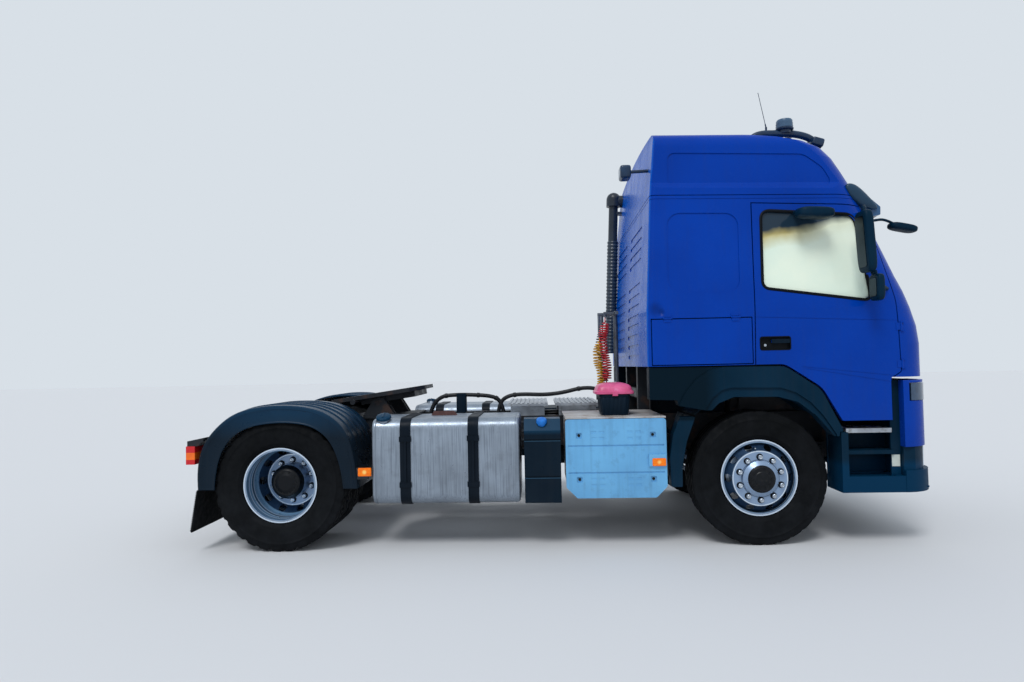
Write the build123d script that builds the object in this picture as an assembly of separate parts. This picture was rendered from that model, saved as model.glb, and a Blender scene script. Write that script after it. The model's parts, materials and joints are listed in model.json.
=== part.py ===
from build123d import *
from math import cos, radians, sin, tan
import os

os.makedirs("parts", exist_ok=True)

# Two-axle tractor unit with a sleeper cab, in millimetres.
# X points forward, Y to the left and Z up. The ground is z = 0.
# The origin is under the middle of the overall length.

# Overall layout
wheelbase = 3800
front_overhang = 1400
rear_overhang = 760
front_axle = (wheelbase + rear_overhang - front_overhang) / 2
rear_axle = front_axle - wheelbase
body_half_width = 1245
seat_gap = 0.3
moving_gap = 8
running_gap = 0.06

# Tyres and rims
tyre_radius = 525
tyre_width = 312
wheel_z = tyre_radius
bead_radius = 285
flange_radius = 298.5
rim_half_width = 125
rim_wall = 10
front_wheel_y = 1025
twin_centre_y = 924
twin_spacing = 345
bolt_circle = 335
bolt_count = 10
nut_radius = 18
nut_height = 26
hub_radius = 139
hand_hole_circle = 480
hand_hole_count = 10
hand_hole_length = 62
hand_hole_width = 42

# Frame
rail_outer = 395
rail_height = 270
rail_flange = 80
rail_wall = 10
frame_top = 985
frame_bottom = frame_top - rail_height
frame_front = front_axle + front_overhang - 330
frame_rear = rear_axle - rear_overhang + 40

# Cab
cab_rear = front_axle - 860
cab_front = front_axle + front_overhang - 35
cab_wall = 50
front_bow = 60
corner_radius = 280
sill_z = 1415
floor_z = 1300
belt_z = 1790
seam_rear_z = 2792
seam_slope = 1.43
roof_edge_z = 3318
roof_crown_z = 3385
roof_slope = 1.5
belt_lean = 0.064
roof_lean = 0.105
tilt_x = front_axle + 1285
tilt_z = 1100
tilt_pin_radius = 12
tilt_eye_radius = 20
tilt_arm_y = rail_outer - 25

# Fifth wheel
coupling_x = rear_axle + 600
coupling_z = 1220
coupling_tilt = 8
kingpin_diameter = 50.8


def block(x0, x1, y0, y1, z0, z1):
    """Box between two corners."""
    centre = Pos((x0 + x1) / 2, (y0 + y1) / 2, (z0 + z1) / 2)
    return centre * Box(x1 - x0, y1 - y0, z1 - z0)


def rod_x(y, z, radius, x0, x1):
    """Round bar along X."""
    return Pos((x0 + x1) / 2, y, z) * Rot(0, 90, 0) * Cylinder(radius, x1 - x0)


def rod_y(x, z, radius, y0, y1):
    """Round bar along Y."""
    return Pos(x, (y0 + y1) / 2, z) * Rot(90, 0, 0) * Cylinder(radius, y1 - y0)


def rod_z(x, y, radius, z0, z1):
    """Upright round bar."""
    return Pos(x, y, (z0 + z1) / 2) * Cylinder(radius, z1 - z0)


def rounded(points, radii):
    """Closed outline with one corner radius, or one for each point."""
    return make_face(FilletPolyline(*points, radius=radii, close=True))


def side_solid(sketch, y0, y1):
    """Sketch drawn in X and Z, made solid between two places across the truck."""
    plane = Plane(origin=(0, y1, 0), x_dir=(1, 0, 0), z_dir=(0, -1, 0))
    return extrude(plane * sketch, amount=y1 - y0)


def front_solid(sketch, x0, x1):
    """Sketch drawn in Y and Z, made solid between two places along the truck."""
    plane = Plane(origin=(x0, 0, 0), x_dir=(0, 1, 0), z_dir=(1, 0, 0))
    return extrude(plane * sketch, amount=x1 - x0)


def top_solid(sketch, z0, z1):
    """Sketch drawn in X and Y, made solid between two heights."""
    return extrude(Pos(0, 0, z0) * sketch, amount=z1 - z0)


def both(shape):
    """The shape and its mirror image on the other side of the truck."""
    return [shape, mirror(shape, about=Plane.XZ)]


def save(name, *shapes):
    """Write one sub-part, whose solids may stand apart from each other."""
    solids = []
    for shape in shapes:
        group = shape if isinstance(shape, (list, tuple)) else [shape]
        for item in group:
            solids += item.solids()
    whole = solids[0] if len(solids) == 1 else Compound(children=solids)
    export_step(whole, f"parts/{name}.step")


# Wheels: the profile is drawn in X (radius) and Z (outward) and turned about Z.
def revolved(points, x, y, side):
    """Turned piece about the axle line, its outward side to the left or right."""
    profile = make_face(Polyline(*[(r, 0, w) for r, w in points], close=True))
    body = revolve(profile, Axis.Z)
    turn = Rot(-90, 0, 0) if side > 0 else Rot(90, 0, 0)
    return Pos(x, y, wheel_z) * turn * body


tread_half = tyre_width / 2 - 24
tyre_points = [
    (bead_radius + seat_gap, -rim_half_width + 13),
    (flange_radius + 4, -rim_half_width + 13),
    (flange_radius + 12, -rim_half_width - 6),
    (405, -tyre_width / 2),
    (490, -tyre_width / 2 + 10),
    (tyre_radius, -tread_half),
    (tyre_radius, tread_half),
    (490, tyre_width / 2 - 10),
    (405, tyre_width / 2),
    (flange_radius + 12, rim_half_width + 6),
    (flange_radius + 4, rim_half_width - 13),
    (bead_radius + seat_gap, rim_half_width - 13),
]
tyre_sides = 40


def tyre_body(x, y, side):
    """Tyre of flat bands, which stands on one of its flats."""
    stretch = 1 / cos(radians(180 / tyre_sides))
    turn = [radians((place + 0.5) * 360 / tyre_sides) for place in range(tyre_sides)]
    rings = [[(x + r * stretch * sin(a), y + side * w, wheel_z - r * stretch * cos(a)) for a in turn]
             for r, w in tyre_points]
    faces = []
    for here, after in zip(rings, rings[1:] + rings[:1]):
        for place in range(tyre_sides):
            step = (place + 1) % tyre_sides
            corners = [here[place], here[step], after[step], after[place]]
            faces.append(Face(Wire.make_polygon(corners, close=True)))
    return Solid(Shell(faces))


def barrel_points():
    """Rim barrel with a flange on each edge."""
    inner = bead_radius - rim_wall
    edge = rim_half_width
    return [
        (inner, -edge), (flange_radius, -edge), (flange_radius, -edge + 7),
        (bead_radius, -edge + 12), (bead_radius, edge - 12),
        (flange_radius, edge - 7), (flange_radius, edge), (inner, edge),
    ]


def disc_points(face, root, thick):
    """Wheel disc from its flat bolt ring at face to the barrel at root."""
    edge = bead_radius - rim_wall / 2
    return [
        (hub_radius + 1, face), (215, face), (edge, root),
        (edge, root - thick), (215, face - thick), (hub_radius + 1, face - thick),
    ]


def wheel_rim(x, centre_y, side, face, root):
    """One steel wheel: barrel, dished disc, hand holes and nuts."""
    rim = revolved(barrel_points(), x, centre_y, side)
    rim += revolved(disc_points(face, root, 14), x, centre_y, side)
    hole_y = centre_y + side * (face + root) / 2
    for turn in range(hand_hole_count):
        angle = turn * 360 / hand_hole_count
        slot = SlotOverall(hand_hole_length, hand_hole_width, rotation=90)
        hole = Pos(hand_hole_circle / 2, 0, -75) * extrude(slot, amount=150)
        hole = Pos(x, hole_y, wheel_z) * Rot(90, 0, 0) * Rot(0, 0, angle) * hole
        rim -= hole
    return rim


def wheel_nuts(x, face_y, side):
    """Ring of wheel nuts standing on the bolt ring."""
    nuts = []
    for turn in range(bolt_count):
        angle = (turn + 0.5) * 360 / bolt_count
        nut = Pos(bolt_circle / 2, 0, 0) * extrude(RegularPolygon(nut_radius, 6), nut_height)
        turn_out = Rot(-90, 0, 0) if side > 0 else Rot(90, 0, 0)
        nuts.append(Pos(x, face_y, wheel_z) * turn_out * Rot(0, 0, angle) * nut)
    return nuts


spindle_radius = 45
spindle_gap = 1
front_face = 150
front_hub_inner = front_wheel_y - 40
front_hub_outer = front_wheel_y + 192


def front_wheel(side):
    """Tyre and wheel of the steered axle."""
    y = side * front_wheel_y
    tyre = tyre_body(front_axle, y, side)
    rim = wheel_rim(front_axle, y, side, front_face, 70)
    inner = front_hub_inner - front_wheel_y
    outer = front_hub_outer - front_wheel_y
    bore = spindle_radius + spindle_gap
    hub = revolved([
        (bore, inner), (215, inner), (215, inner + 45), (hub_radius + 20, inner + 60),
        (hub_radius + 20, front_face - 14), (hub_radius, front_face - 14),
        (hub_radius, outer - 25), (hub_radius - 40, outer), (0, outer),
        (0, inner + 130), (bore, inner + 130),
    ], front_axle, y, side)
    nuts = wheel_nuts(front_axle, y + side * front_face, side)
    for nut in nuts:
        rim += nut
    return tyre, rim + hub


rear_outer_y = twin_centre_y + twin_spacing / 2
rear_inner_y = twin_centre_y - twin_spacing / 2
rear_spindle = 60
rear_hub_inner = twin_centre_y - 254
rear_hub_outer = twin_centre_y + 190


def rear_wheel(side):
    """Twin tyres and wheels of the driven axle, which turn as one."""
    outer_y = side * rear_outer_y
    inner_y = side * rear_inner_y
    tyres = [tyre_body(rear_axle, y, side) for y in (outer_y, inner_y)]
    face = twin_centre_y + 14 - rear_outer_y
    rim = wheel_rim(rear_axle, outer_y, side, face, -60)
    inner_rim = wheel_rim(rear_axle, inner_y, side, twin_centre_y - rear_inner_y, 95)
    inner = rear_hub_inner - rear_outer_y
    outer = rear_hub_outer - rear_outer_y
    bore = rear_spindle + spindle_gap
    hub = revolved([
        (bore, inner), (212, inner), (212, inner + 190), (hub_radius + 20, inner + 205),
        (hub_radius + 20, face - 28), (hub_radius, face - 28),
        (hub_radius, outer - 60), (hub_radius - 25, outer - 20), (60, outer), (0, outer),
        (0, inner + 330), (bore, inner + 330),
    ], rear_axle, outer_y, side)
    whole = rim + inner_rim + hub
    for nut in wheel_nuts(rear_axle, outer_y + side * face, side):
        whole += nut
    return tyres, whole


for name, side in (("left", 1), ("right", -1)):
    tyre, rim = front_wheel(side)
    save(f"tyre_front_{name}", tyre)
    save(f"rim_front_{name}", rim)
    tyres, rim = rear_wheel(side)
    save(f"tyres_rear_{name}", tyres)
    save(f"rims_rear_{name}", rim)

# Front axle: dropped beam, kingpins, knuckles and the track rod behind it
kingpin_y = 890
kingpin_radius = 30
eye_half = 50
lug_thick = 45
beam_depth = 120
beam_top = wheel_z - 55
beam_half_thick = 55
steer_arm = 210
track_rod_z = wheel_z - 95
track_rod_radius = 22
ball_pin_radius = 12


def front_axle_beam():
    """Dropped beam with an eye at each end."""
    beam = block(front_axle - beam_half_thick, front_axle + beam_half_thick,
                 -660, 660, beam_top - beam_depth, beam_top)
    for side in (1, -1):
        end_y = side * (kingpin_y - 86)
        swan = make_face(Polyline(
            (side * 560, beam_top), (side * 640, beam_top - beam_depth),
            (end_y, wheel_z - eye_half + 4), (side * (kingpin_y - 30), wheel_z - eye_half + 4),
            (side * (kingpin_y - 30), wheel_z + eye_half - 4), (end_y, wheel_z + eye_half - 4),
            (side * 700, wheel_z + 20), close=True))
        swan = front_solid(swan, front_axle - beam_half_thick, front_axle + beam_half_thick)
        eye = rod_z(front_axle, side * kingpin_y, 55, wheel_z - eye_half, wheel_z + eye_half)
        beam = beam + swan + eye
        beam -= rod_z(front_axle, side * kingpin_y, kingpin_radius + 1, 0, wheel_z + 200)
    return beam


def knuckle(side):
    """Steering knuckle: kingpin, two lugs, spindle and the arm to the track rod."""
    y = side * kingpin_y
    face = kingpin_y + 62
    body = rod_z(front_axle, y, kingpin_radius, wheel_z - eye_half - lug_thick,
                 wheel_z + eye_half + lug_thick)
    for z0 in (wheel_z - eye_half - 2 - lug_thick, wheel_z + eye_half + 2):
        lug = rod_z(front_axle, y, 50, z0, z0 + lug_thick)
        lug += block(front_axle - 50, front_axle + 50, min(y, side * face),
                     max(y, side * face), z0, z0 + lug_thick)
        body += lug
    y0, y1 = sorted((side * face, side * (face + 25)))
    body += block(front_axle - 60, front_axle + 60, y0, y1,
                  wheel_z - eye_half - lug_thick - 2, wheel_z + eye_half + lug_thick + 2)
    y0, y1 = sorted((side * (face + 25), side * (front_hub_inner + 120)))
    body += rod_y(front_axle, wheel_z, spindle_radius, y0, y1)
    arm_top = wheel_z - eye_half - 2
    body += block(front_axle - steer_arm, front_axle, y - 25, y + 25,
                  arm_top - 30, arm_top)
    body += rod_z(front_axle - steer_arm, y, 28, arm_top - 30, arm_top)
    body += rod_z(front_axle - steer_arm, y, ball_pin_radius, track_rod_z - 30, arm_top)
    return body


def track_rod():
    """Rod that keeps the two knuckles parallel, with an eye at each end."""
    x = front_axle - steer_arm
    rod = rod_y(x, track_rod_z - 14, track_rod_radius, -kingpin_y + 20, kingpin_y - 20)
    for side in (1, -1):
        rod += rod_z(x, side * kingpin_y, 28, track_rod_z - 30, track_rod_z + 4)
        hole = ball_pin_radius + (running_gap if side > 0 else 2)
        rod -= rod_z(x, side * kingpin_y, hole, track_rod_z - 60, track_rod_z + 40)
    return rod


save("front_axle_beam", front_axle_beam())
save("knuckle_left", knuckle(1))
save("knuckle_right", knuckle(-1))
save("track_rod", track_rod())

# Front leaf springs between the beam and the frame
spring_y = 420
spring_half_width = 42
spring_half_length = 780
spring_eye_z = frame_bottom - 60
damper_y = 500


def front_spring():
    """Two long leaves that bow down to the axle, an eye bracket at each end, and a damper."""
    seat_z = beam_top + 18
    arc = ThreePointArc((front_axle - spring_half_length, spring_eye_z),
                        (front_axle, seat_z),
                        (front_axle + spring_half_length, spring_eye_z))
    upper = ThreePointArc((front_axle - spring_half_length, spring_eye_z + 36),
                          (front_axle, seat_z + 36),
                          (front_axle + spring_half_length, spring_eye_z + 36))
    ends = [Line(arc @ 0, upper @ 0), Line(arc @ 1, upper @ 1)]
    leaf = side_solid(make_face([arc, upper] + ends),
                      spring_y - spring_half_width, spring_y + spring_half_width)
    leaf += block(front_axle - 70, front_axle + 70, spring_y - spring_half_width - 14,
                  spring_y + spring_half_width + 14, beam_top, seat_z + 60)
    for end in (-1, 1):
        x = front_axle + end * (spring_half_length - 10)
        leaf += block(x - 45, x + 45, spring_y - 30, spring_y + 30,
                      spring_eye_z, frame_bottom)
    damper_x = front_axle + 100
    leaf += block(front_axle - 40, damper_x + 30, spring_y + spring_half_width, damper_y + 30,
                  beam_top, beam_top + 30)
    leaf += rod_z(damper_x, damper_y, 18, beam_top + 10, frame_bottom + 130)
    leaf += rod_z(damper_x, damper_y, 32, beam_top + 110, frame_bottom + 90)
    leaf += block(damper_x - 30, damper_x + 30, rail_outer, damper_y + 30,
                  frame_bottom + 100, frame_bottom + 130)
    return leaf


# Frame rails and crossmembers
crossmember_places = [frame_front - 60, front_axle - 1150,
                      front_axle - 1900, rear_axle + 1050, rear_axle + 380,
                      rear_axle - 330, frame_rear + 50]
tail_bar_z = 848
tail_bar_end = 1230


def frame():
    """Two channel rails tied by crossmembers, with the cab's forks and posts and the tail bars."""
    rail = block(frame_rear, frame_front, rail_outer - rail_wall, rail_outer,
                 frame_bottom, frame_top)
    for z in (frame_bottom, frame_top - rail_wall):
        rail += block(frame_rear, frame_front, rail_outer - rail_flange, rail_outer,
                      z, z + rail_wall)
    whole = rail + mirror(rail, about=Plane.XZ)
    inner = rail_outer - rail_wall
    for x in crossmember_places:
        whole += block(x - 40, x + 40, -inner, inner, frame_bottom + 40, frame_bottom + 52)
        whole += block(x - 6, x + 6, -inner, inner, frame_bottom + 40, frame_top - 40)
    whole -= block(rear_axle + 300, gearbox_rear, -130, 130, frame_bottom - 50, frame_top - 90)
    for side in (1, -1):
        for near, far in ((-26, -8), (26, 44)):
            y0, y1 = sorted((side * (tilt_arm_y + near), side * (tilt_arm_y + far)))
            fork = make_face(Polyline(
                (frame_front - 130, frame_top - 20), (frame_front, frame_top - 20),
                (frame_front, frame_top - 60), (tilt_x + 12, tilt_z - 16),
                (tilt_x - 8, tilt_z + 18), (frame_front - 130, frame_top + 40), close=True))
            whole += side_solid(fork, y0, y1) + rod_y(tilt_x, tilt_z, tilt_eye_radius, y0, y1)
        whole += rod_y(tilt_x, tilt_z, tilt_pin_radius,
                       *sorted((side * (tilt_arm_y - 26), side * (tilt_arm_y + 44))))
        whole += block(cab_rear + 40, cab_rear + 140,
                       *sorted((side * (rail_outer - 70), side * (rail_outer + 10))),
                       frame_top - 10, sill_z - seat_gap)
    tail = rear_axle - rear_overhang
    for side in (1, -1):
        arm = block(tail + 8, tail + 62, *sorted((side * (rail_outer - 60), side * tail_bar_end)),
                    tail_bar_z, tail_bar_z + 36)
        hood = make_face(Polyline((tail + 8, tail_bar_z), (tail + 8, tail_bar_z + 40),
                                  (tail + 140, tail_bar_z + 66), (tail + 140, tail_bar_z + 40),
                                  (tail + 90, tail_bar_z), close=True))
        whole += arm + side_solid(hood, *sorted((side * 905, side * tail_bar_end)))
    return whole


# Engine, gearbox and shaft
engine_front = front_axle + 960
engine_rear = front_axle + 40
gearbox_rear = front_axle - 1010


def powertrain():
    """Plain engine block on its sump, gearbox and the shaft to the rear axle."""
    engine = block(engine_rear, engine_front, -270, 270, 560, 1240)
    engine += block(engine_rear + 60, engine_front - 20, -345, 345, 1000, 1230)
    casing = make_face(Polyline((-250, 640), (250, 640), (250, 900), (120, 990),
                                (-120, 990), (-250, 900), close=True))
    engine += front_solid(casing, gearbox_rear, engine_rear)
    for x, inner in ((engine_front - 130, 260), (engine_rear + 120, 260), (gearbox_rear + 110, 240)):
        for side in (1, -1):
            engine += block(x - 50, x + 50, *sorted((side * inner, side * (rail_outer - rail_wall))),
                            frame_bottom + 70, frame_bottom + 120)
    return engine


shaft_start = Vector(gearbox_rear, 0, 760)
shaft_end = Vector(rear_axle + 330, 0, wheel_z + 40)


def propeller_shaft():
    """Tube with a joint flange at each end."""
    line = shaft_end - shaft_start
    plane = Plane(origin=shaft_start, z_dir=line)
    tube = extrude(plane * Circle(50), amount=line.length)
    tube += extrude(plane * Circle(85), amount=60)
    tube += extrude(plane.offset(line.length - 60) * Circle(85), amount=60)
    return tube


save("chassis_frame", frame())
save("powertrain", powertrain(), propeller_shaft())

# Rear axle housing and air springs
rear_tube_radius = 75
carrier_y = 445
bellows_radius = 118
bellows_offset = 345
chamber_z = wheel_z + 115
chamber_radius = 62


def rear_axle_housing():
    """Tube, differential bowl with its nose, spindles and spring seats."""
    tube_end = rear_hub_inner - 10
    housing = rod_y(rear_axle, wheel_z, rear_tube_radius, -tube_end, tube_end)
    housing += rod_y(rear_axle, wheel_z, rear_spindle, -rear_hub_inner - 320, rear_hub_inner + 320)
    housing += rod_y(rear_axle, wheel_z, 215, -120, 120)
    housing += rod_x(0, wheel_z + 20, 120, rear_axle, rear_axle + 300)
    for side in (1, -1):
        y = side * (carrier_y + 60)
        housing += rod_x(y, chamber_z, chamber_radius, rear_axle + 70, rear_axle + 210)
        housing += rod_x(y, chamber_z, chamber_radius + 6, rear_axle + 130, rear_axle + 146)
        housing += block(rear_axle + 10, rear_axle + 80, y - 30, y + 30, wheel_z, chamber_z + 30)
    return housing


def rear_suspension(side):
    """Carrier bar under the axle with a bellows on each end, up to the frame rail."""
    y = side * carrier_y
    top = wheel_z - rear_tube_radius
    bar = block(rear_axle - bellows_offset - 90, rear_axle + bellows_offset + 90,
                y - 45, y + 45, top - 45, top)
    lobe = (frame_bottom - 14 - top) / 3
    for end in (-1, 1):
        x = rear_axle + end * bellows_offset
        for place in range(3):
            z = top + place * lobe
            bar += rod_z(x, y, 88, z, z + lobe)
            bar += rod_z(x, y, bellows_radius, z + 0.2 * lobe, z + 0.8 * lobe)
        bar += rod_z(x, y, 95, frame_bottom - 14, frame_bottom)
    return bar


save("rear_axle_housing", rear_axle_housing())
save("suspension", both(front_spring()), rear_suspension(1), rear_suspension(-1))

# Tanks and boxes along the sides
side_outer = body_half_width
tank_front = front_axle - 1880
tank_rear = front_axle - 3054
tank_bottom = 361
tank_top = 1039
tank_depth = 640
left_tank_front = front_axle - 1990
fluid_front = front_axle - 1555
fluid_rear = front_axle - 1842
exhaust_front = front_axle - 733
exhaust_rear = front_axle - 1517
exhaust_bottom = 399
exhaust_top = 1017
cover_thick = 26


def fuel_tank(x0, x1, side):
    """Rounded box tank lying along the frame, with its two brackets."""
    outer = side_outer - 10
    inner = outer - tank_depth
    section = rounded([(inner, tank_bottom), (outer, tank_bottom),
                       (outer, tank_top), (inner, tank_top)], 85)
    tank = front_solid(section, x0, x1)
    tank = fillet(tank.faces().sort_by(Axis.X)[-1].edges(), 22)
    tank = fillet(tank.faces().sort_by(Axis.X)[0].edges(), 22)
    return tank if side > 0 else mirror(tank, about=Plane.XZ)


def tank_strap(x, side):
    """Band round the outside of the tank, bolted to a bracket on the rail."""
    outer = side_outer - 10
    inner = outer - tank_depth
    band = 8
    gap = seat_gap
    ring = rounded([(inner - gap - band, tank_bottom - gap - band),
                    (outer + gap + band, tank_bottom - gap - band),
                    (outer + gap + band, tank_top + gap + band),
                    (inner - gap - band, tank_top + gap + band)], 85 + band)
    hole = rounded([(inner - gap, tank_bottom - gap), (outer + gap, tank_bottom - gap),
                    (outer + gap, tank_top + gap), (inner - gap, tank_top + gap)], 85)
    strap = front_solid(ring - hole, x - 42, x + 42)
    strap += block(x - 35, x + 35, rail_outer, inner - gap - band, frame_bottom + 20,
                   frame_top - 30)
    return strap if side > 0 else mirror(strap, about=Plane.XZ)


strap_places = [(tank_rear + 270, -1), (tank_front - 365, -1),
                (tank_rear + 270, 1), (left_tank_front - 300, 1)]
save("fuel_tanks", fuel_tank(tank_rear, tank_front, -1), fuel_tank(tank_rear, left_tank_front, 1))
save("tank_straps", [tank_strap(x, side) for x, side in strap_places])


def filler_caps():
    """Fuel cap on each tank and the smaller cap of the fluid tank."""
    caps = []
    for side in (1, -1):
        y = side * (side_outer - 140)
        cap = rod_z(tank_rear + 75, y, 45, tank_top + seat_gap, tank_top + 28)
        cap += rod_z(tank_rear + 75, y, 56, tank_top + 28, tank_top + 58)
        caps.append(cap)
    caps.append(rod_z((fluid_front + fluid_rear) / 2, -side_outer + 130, 34,
                      tank_top - 20, tank_top + 22))
    return caps


save("filler_caps", filler_caps())


def fluid_tank():
    """Moulded tank with a stepped shoulder and two grooves across its face."""
    outer = -side_outer + 10
    section = make_face(Polyline(
        (outer, 365), (outer, 930), (outer + 60, tank_top - 20.3), (outer + 240, tank_top - 20.3),
        (outer + 240, tank_top - 60), (outer + 480, tank_top - 60), (outer + 480, 365),
        close=True))
    tank = front_solid(section, fluid_rear, fluid_front)
    for z in (850, 560):
        tank -= block(fluid_rear - 1, fluid_front + 1, outer - 1, outer + 10, z, z + 14)
    tank += block(fluid_rear + 60, fluid_front - 60, outer + 480, -rail_outer,
                  frame_bottom + 20, frame_top - 40)
    return tank


save("fluid_tank", fluid_tank())


def exhaust_box():
    """Silencer and catalyst housing under a folded deck plate."""
    outer = -side_outer + cover_thick
    housing = side_solid(rounded([
        (exhaust_rear + 10, exhaust_bottom + 90), (exhaust_rear + 90, exhaust_bottom + 10),
        (exhaust_front - 90, exhaust_bottom + 10), (exhaust_front - 10, exhaust_bottom + 90),
        (exhaust_front - 10, exhaust_top - 8), (exhaust_rear + 10, exhaust_top - 8)], 20),
        outer, -600)
    housing += block(exhaust_rear, exhaust_front, -side_outer + 5, -rail_outer - 60,
                     exhaust_top, exhaust_top + 12)
    housing += block(exhaust_rear + 30, exhaust_front - 30, outer + 5, -600,
                     exhaust_top - 20, exhaust_top + 1)
    for x in (exhaust_rear + 120, exhaust_front - 200):
        housing += block(x, x + 80, -600, -rail_outer, frame_bottom + 20, frame_top - 40)
    return housing


def exhaust_cover():
    """Pressed cover with lowered ribs, small pressed blocks and four fastener pockets."""
    panel = side_solid(rounded([
        (exhaust_rear, exhaust_bottom + 85), (exhaust_rear + 85, exhaust_bottom),
        (exhaust_front - 85, exhaust_bottom), (exhaust_front, exhaust_bottom + 85),
        (exhaust_front, exhaust_top - 3), (exhaust_rear, exhaust_top - 3)], 24),
        -side_outer, -side_outer + cover_thick - seat_gap)
    for z in (590, 800):
        panel -= block(exhaust_rear + 20, exhaust_front - 20, -side_outer - 1,
                       -side_outer + 7, z, z + 12)
    for x in (exhaust_rear + 105, exhaust_front - 105):
        for z in (exhaust_top - 130, exhaust_bottom + 145):
            panel -= side_solid(rounded([(x - 22, z - 22), (x + 22, z - 22),
                                         (x + 22, z + 22), (x - 22, z + 22)], 8),
                                -side_outer - 1, -side_outer + 12)
    for x in (exhaust_rear + 250, exhaust_front - 250):
        for z in (exhaust_top - 130, exhaust_bottom + 125):
            for column in (-1, 1):
                for row in (-1, 1):
                    panel -= block(x + column * 32 - 20, x + column * 32 + 20, -side_outer - 1,
                                   -side_outer + 3, z + row * 24 - 9, z + row * 24 + 9)
    return panel


save("exhaust_box", exhaust_box())
save("exhaust_cover", exhaust_cover())

battery_front = front_axle - 1000
battery_rear = left_tank_front + 60


def battery_box():
    """Left-hand battery box with its lid, and two air reservoirs beside it."""
    outer = side_outer - 20
    box = front_solid(rounded([(outer - 520, 470), (outer, 470), (outer, 900),
                               (outer - 520, 900)], 40), battery_rear, battery_front)
    lid = front_solid(rounded([(outer - 530, 903), (outer + 8, 903), (outer + 8, 985),
                               (outer - 530, 985)], 30), battery_rear - 8, battery_front + 8)
    lid += block(battery_rear + 20, battery_front - 20, outer - 500, outer - 30, 899.5, 905)
    arms = []
    for x in (battery_rear + 80, battery_front - 160):
        arms.append(block(x, x + 80, rail_outer, outer - 515, frame_bottom + 20, 890))
    whole = box + lid
    for arm in arms:
        whole += arm
    return whole


def air_tank(side):
    """Air reservoir slung under the frame rail behind the gearbox."""
    y = side * (rail_outer - 170)
    x = front_axle - 1500
    body = fillet(rod_x(y, frame_bottom - 80, 108, x - 330, x + 330).edges(), 40)
    for end in (-200, 200):
        body += block(x + end - 25, x + end + 25, *sorted((y, side * (rail_outer - 5))),
                      frame_bottom - 50, frame_bottom)
    return body


save("battery_and_air", battery_box(), air_tank(1), air_tank(-1))

# Catwalk, treads and side steps
deck_top = 1105
deck_thick = 30
deck_half = 440
deck_spans = [(front_axle - 2010, front_axle - 1640), (front_axle - 1570, front_axle - 1170)]


def catwalk():
    """Ribbed planks on legs that stand on the frame rails."""
    deck = None
    for x0, x1 in deck_spans:
        plank = block(x0, x1, -deck_half, deck_half, deck_top - deck_thick, deck_top - 8)
        x = x0 + 12
        while x + 20 < x1:
            plank += block(x, x + 18, -deck_half, deck_half, deck_top - 9, deck_top)
            x += 42
        for side in (1, -1):
            y0, y1 = sorted((side * (rail_outer - 60), side * (rail_outer - 10)))
            plank += block(x0 + 30, x1 - 30, y0, y1, frame_top, deck_top - deck_thick)
        deck = plank if deck is None else [deck, plank]
    return deck


# Rear mudguards and flaps
guard_outer = body_half_width + 17
guard_inner = 570
guard_points = [(-655, 470), (-672, 700), (-560, 930), (-300, 1155), (250, 1168),
                (520, 1010), (615, 760), (640, 486)]
guard_lip = [(-520, 440), (-500, 760), (-300, 985), (40, 1026), (330, 985), (500, 740),
             (528, 440)]
guard_wall = 12


def rear_mudguard():
    """Arched shell over the twin tyres with an outer lip and raised ribs."""
    outer = rounded([(rear_axle + x, z) for x, z in guard_points],
                    [5, 200, 200, 200, 200, 200, 200, 5])
    inner = offset(outer, amount=-guard_wall)
    floor_cut = Pos(rear_axle, 400) * Rectangle(2000, 200)
    shell = side_solid((outer - inner) - floor_cut, guard_inner, guard_outer)
    lip = rounded([(rear_axle + x, z) for x, z in guard_lip],
                  [5, 180, 180, 180, 180, 180, 5])
    shell += side_solid(outer - lip - floor_cut, guard_outer - 10, guard_outer)
    for place in (0.2, 0.4, 0.6, 0.8):
        y = guard_inner + place * (guard_outer - guard_inner)
        rib = offset(outer, amount=9) - offset(outer, amount=-2)
        rib = rib - (Pos(rear_axle, 700) * Rectangle(2000, 500))
        shell += side_solid(rib, y - 12, y + 12)
    for x in (rear_axle - 566, rear_axle + 552):
        shell += rod_y(x, 880, 20, rail_outer, guard_inner + 40)
    return shell


def mud_flap():
    """Rubber flap hanging behind the tyres."""
    top_x = rear_axle - 655
    panel = side_solid(make_face(Polyline(
        (top_x + 3, 500 - seat_gap), (top_x - 7, 500 - seat_gap), (top_x - 60, 170),
        (top_x - 50, 165),
        close=True)), guard_inner + 20, guard_outer - 6)
    return panel


save("rear_mudguards", both(rear_mudguard()), both(mud_flap()))

# Fifth wheel: pedestals on the frame and the rocking plate with its jaw
plate_half = 450
plate_thick = 36
pivot_radius = 30
handle_end = -530


def coupling_place(shape):
    """Move a shape drawn level round the pivot to its resting tilt."""
    return Pos(coupling_x, 0, coupling_z - 70) * Rot(0, -coupling_tilt, 0) * shape


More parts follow.
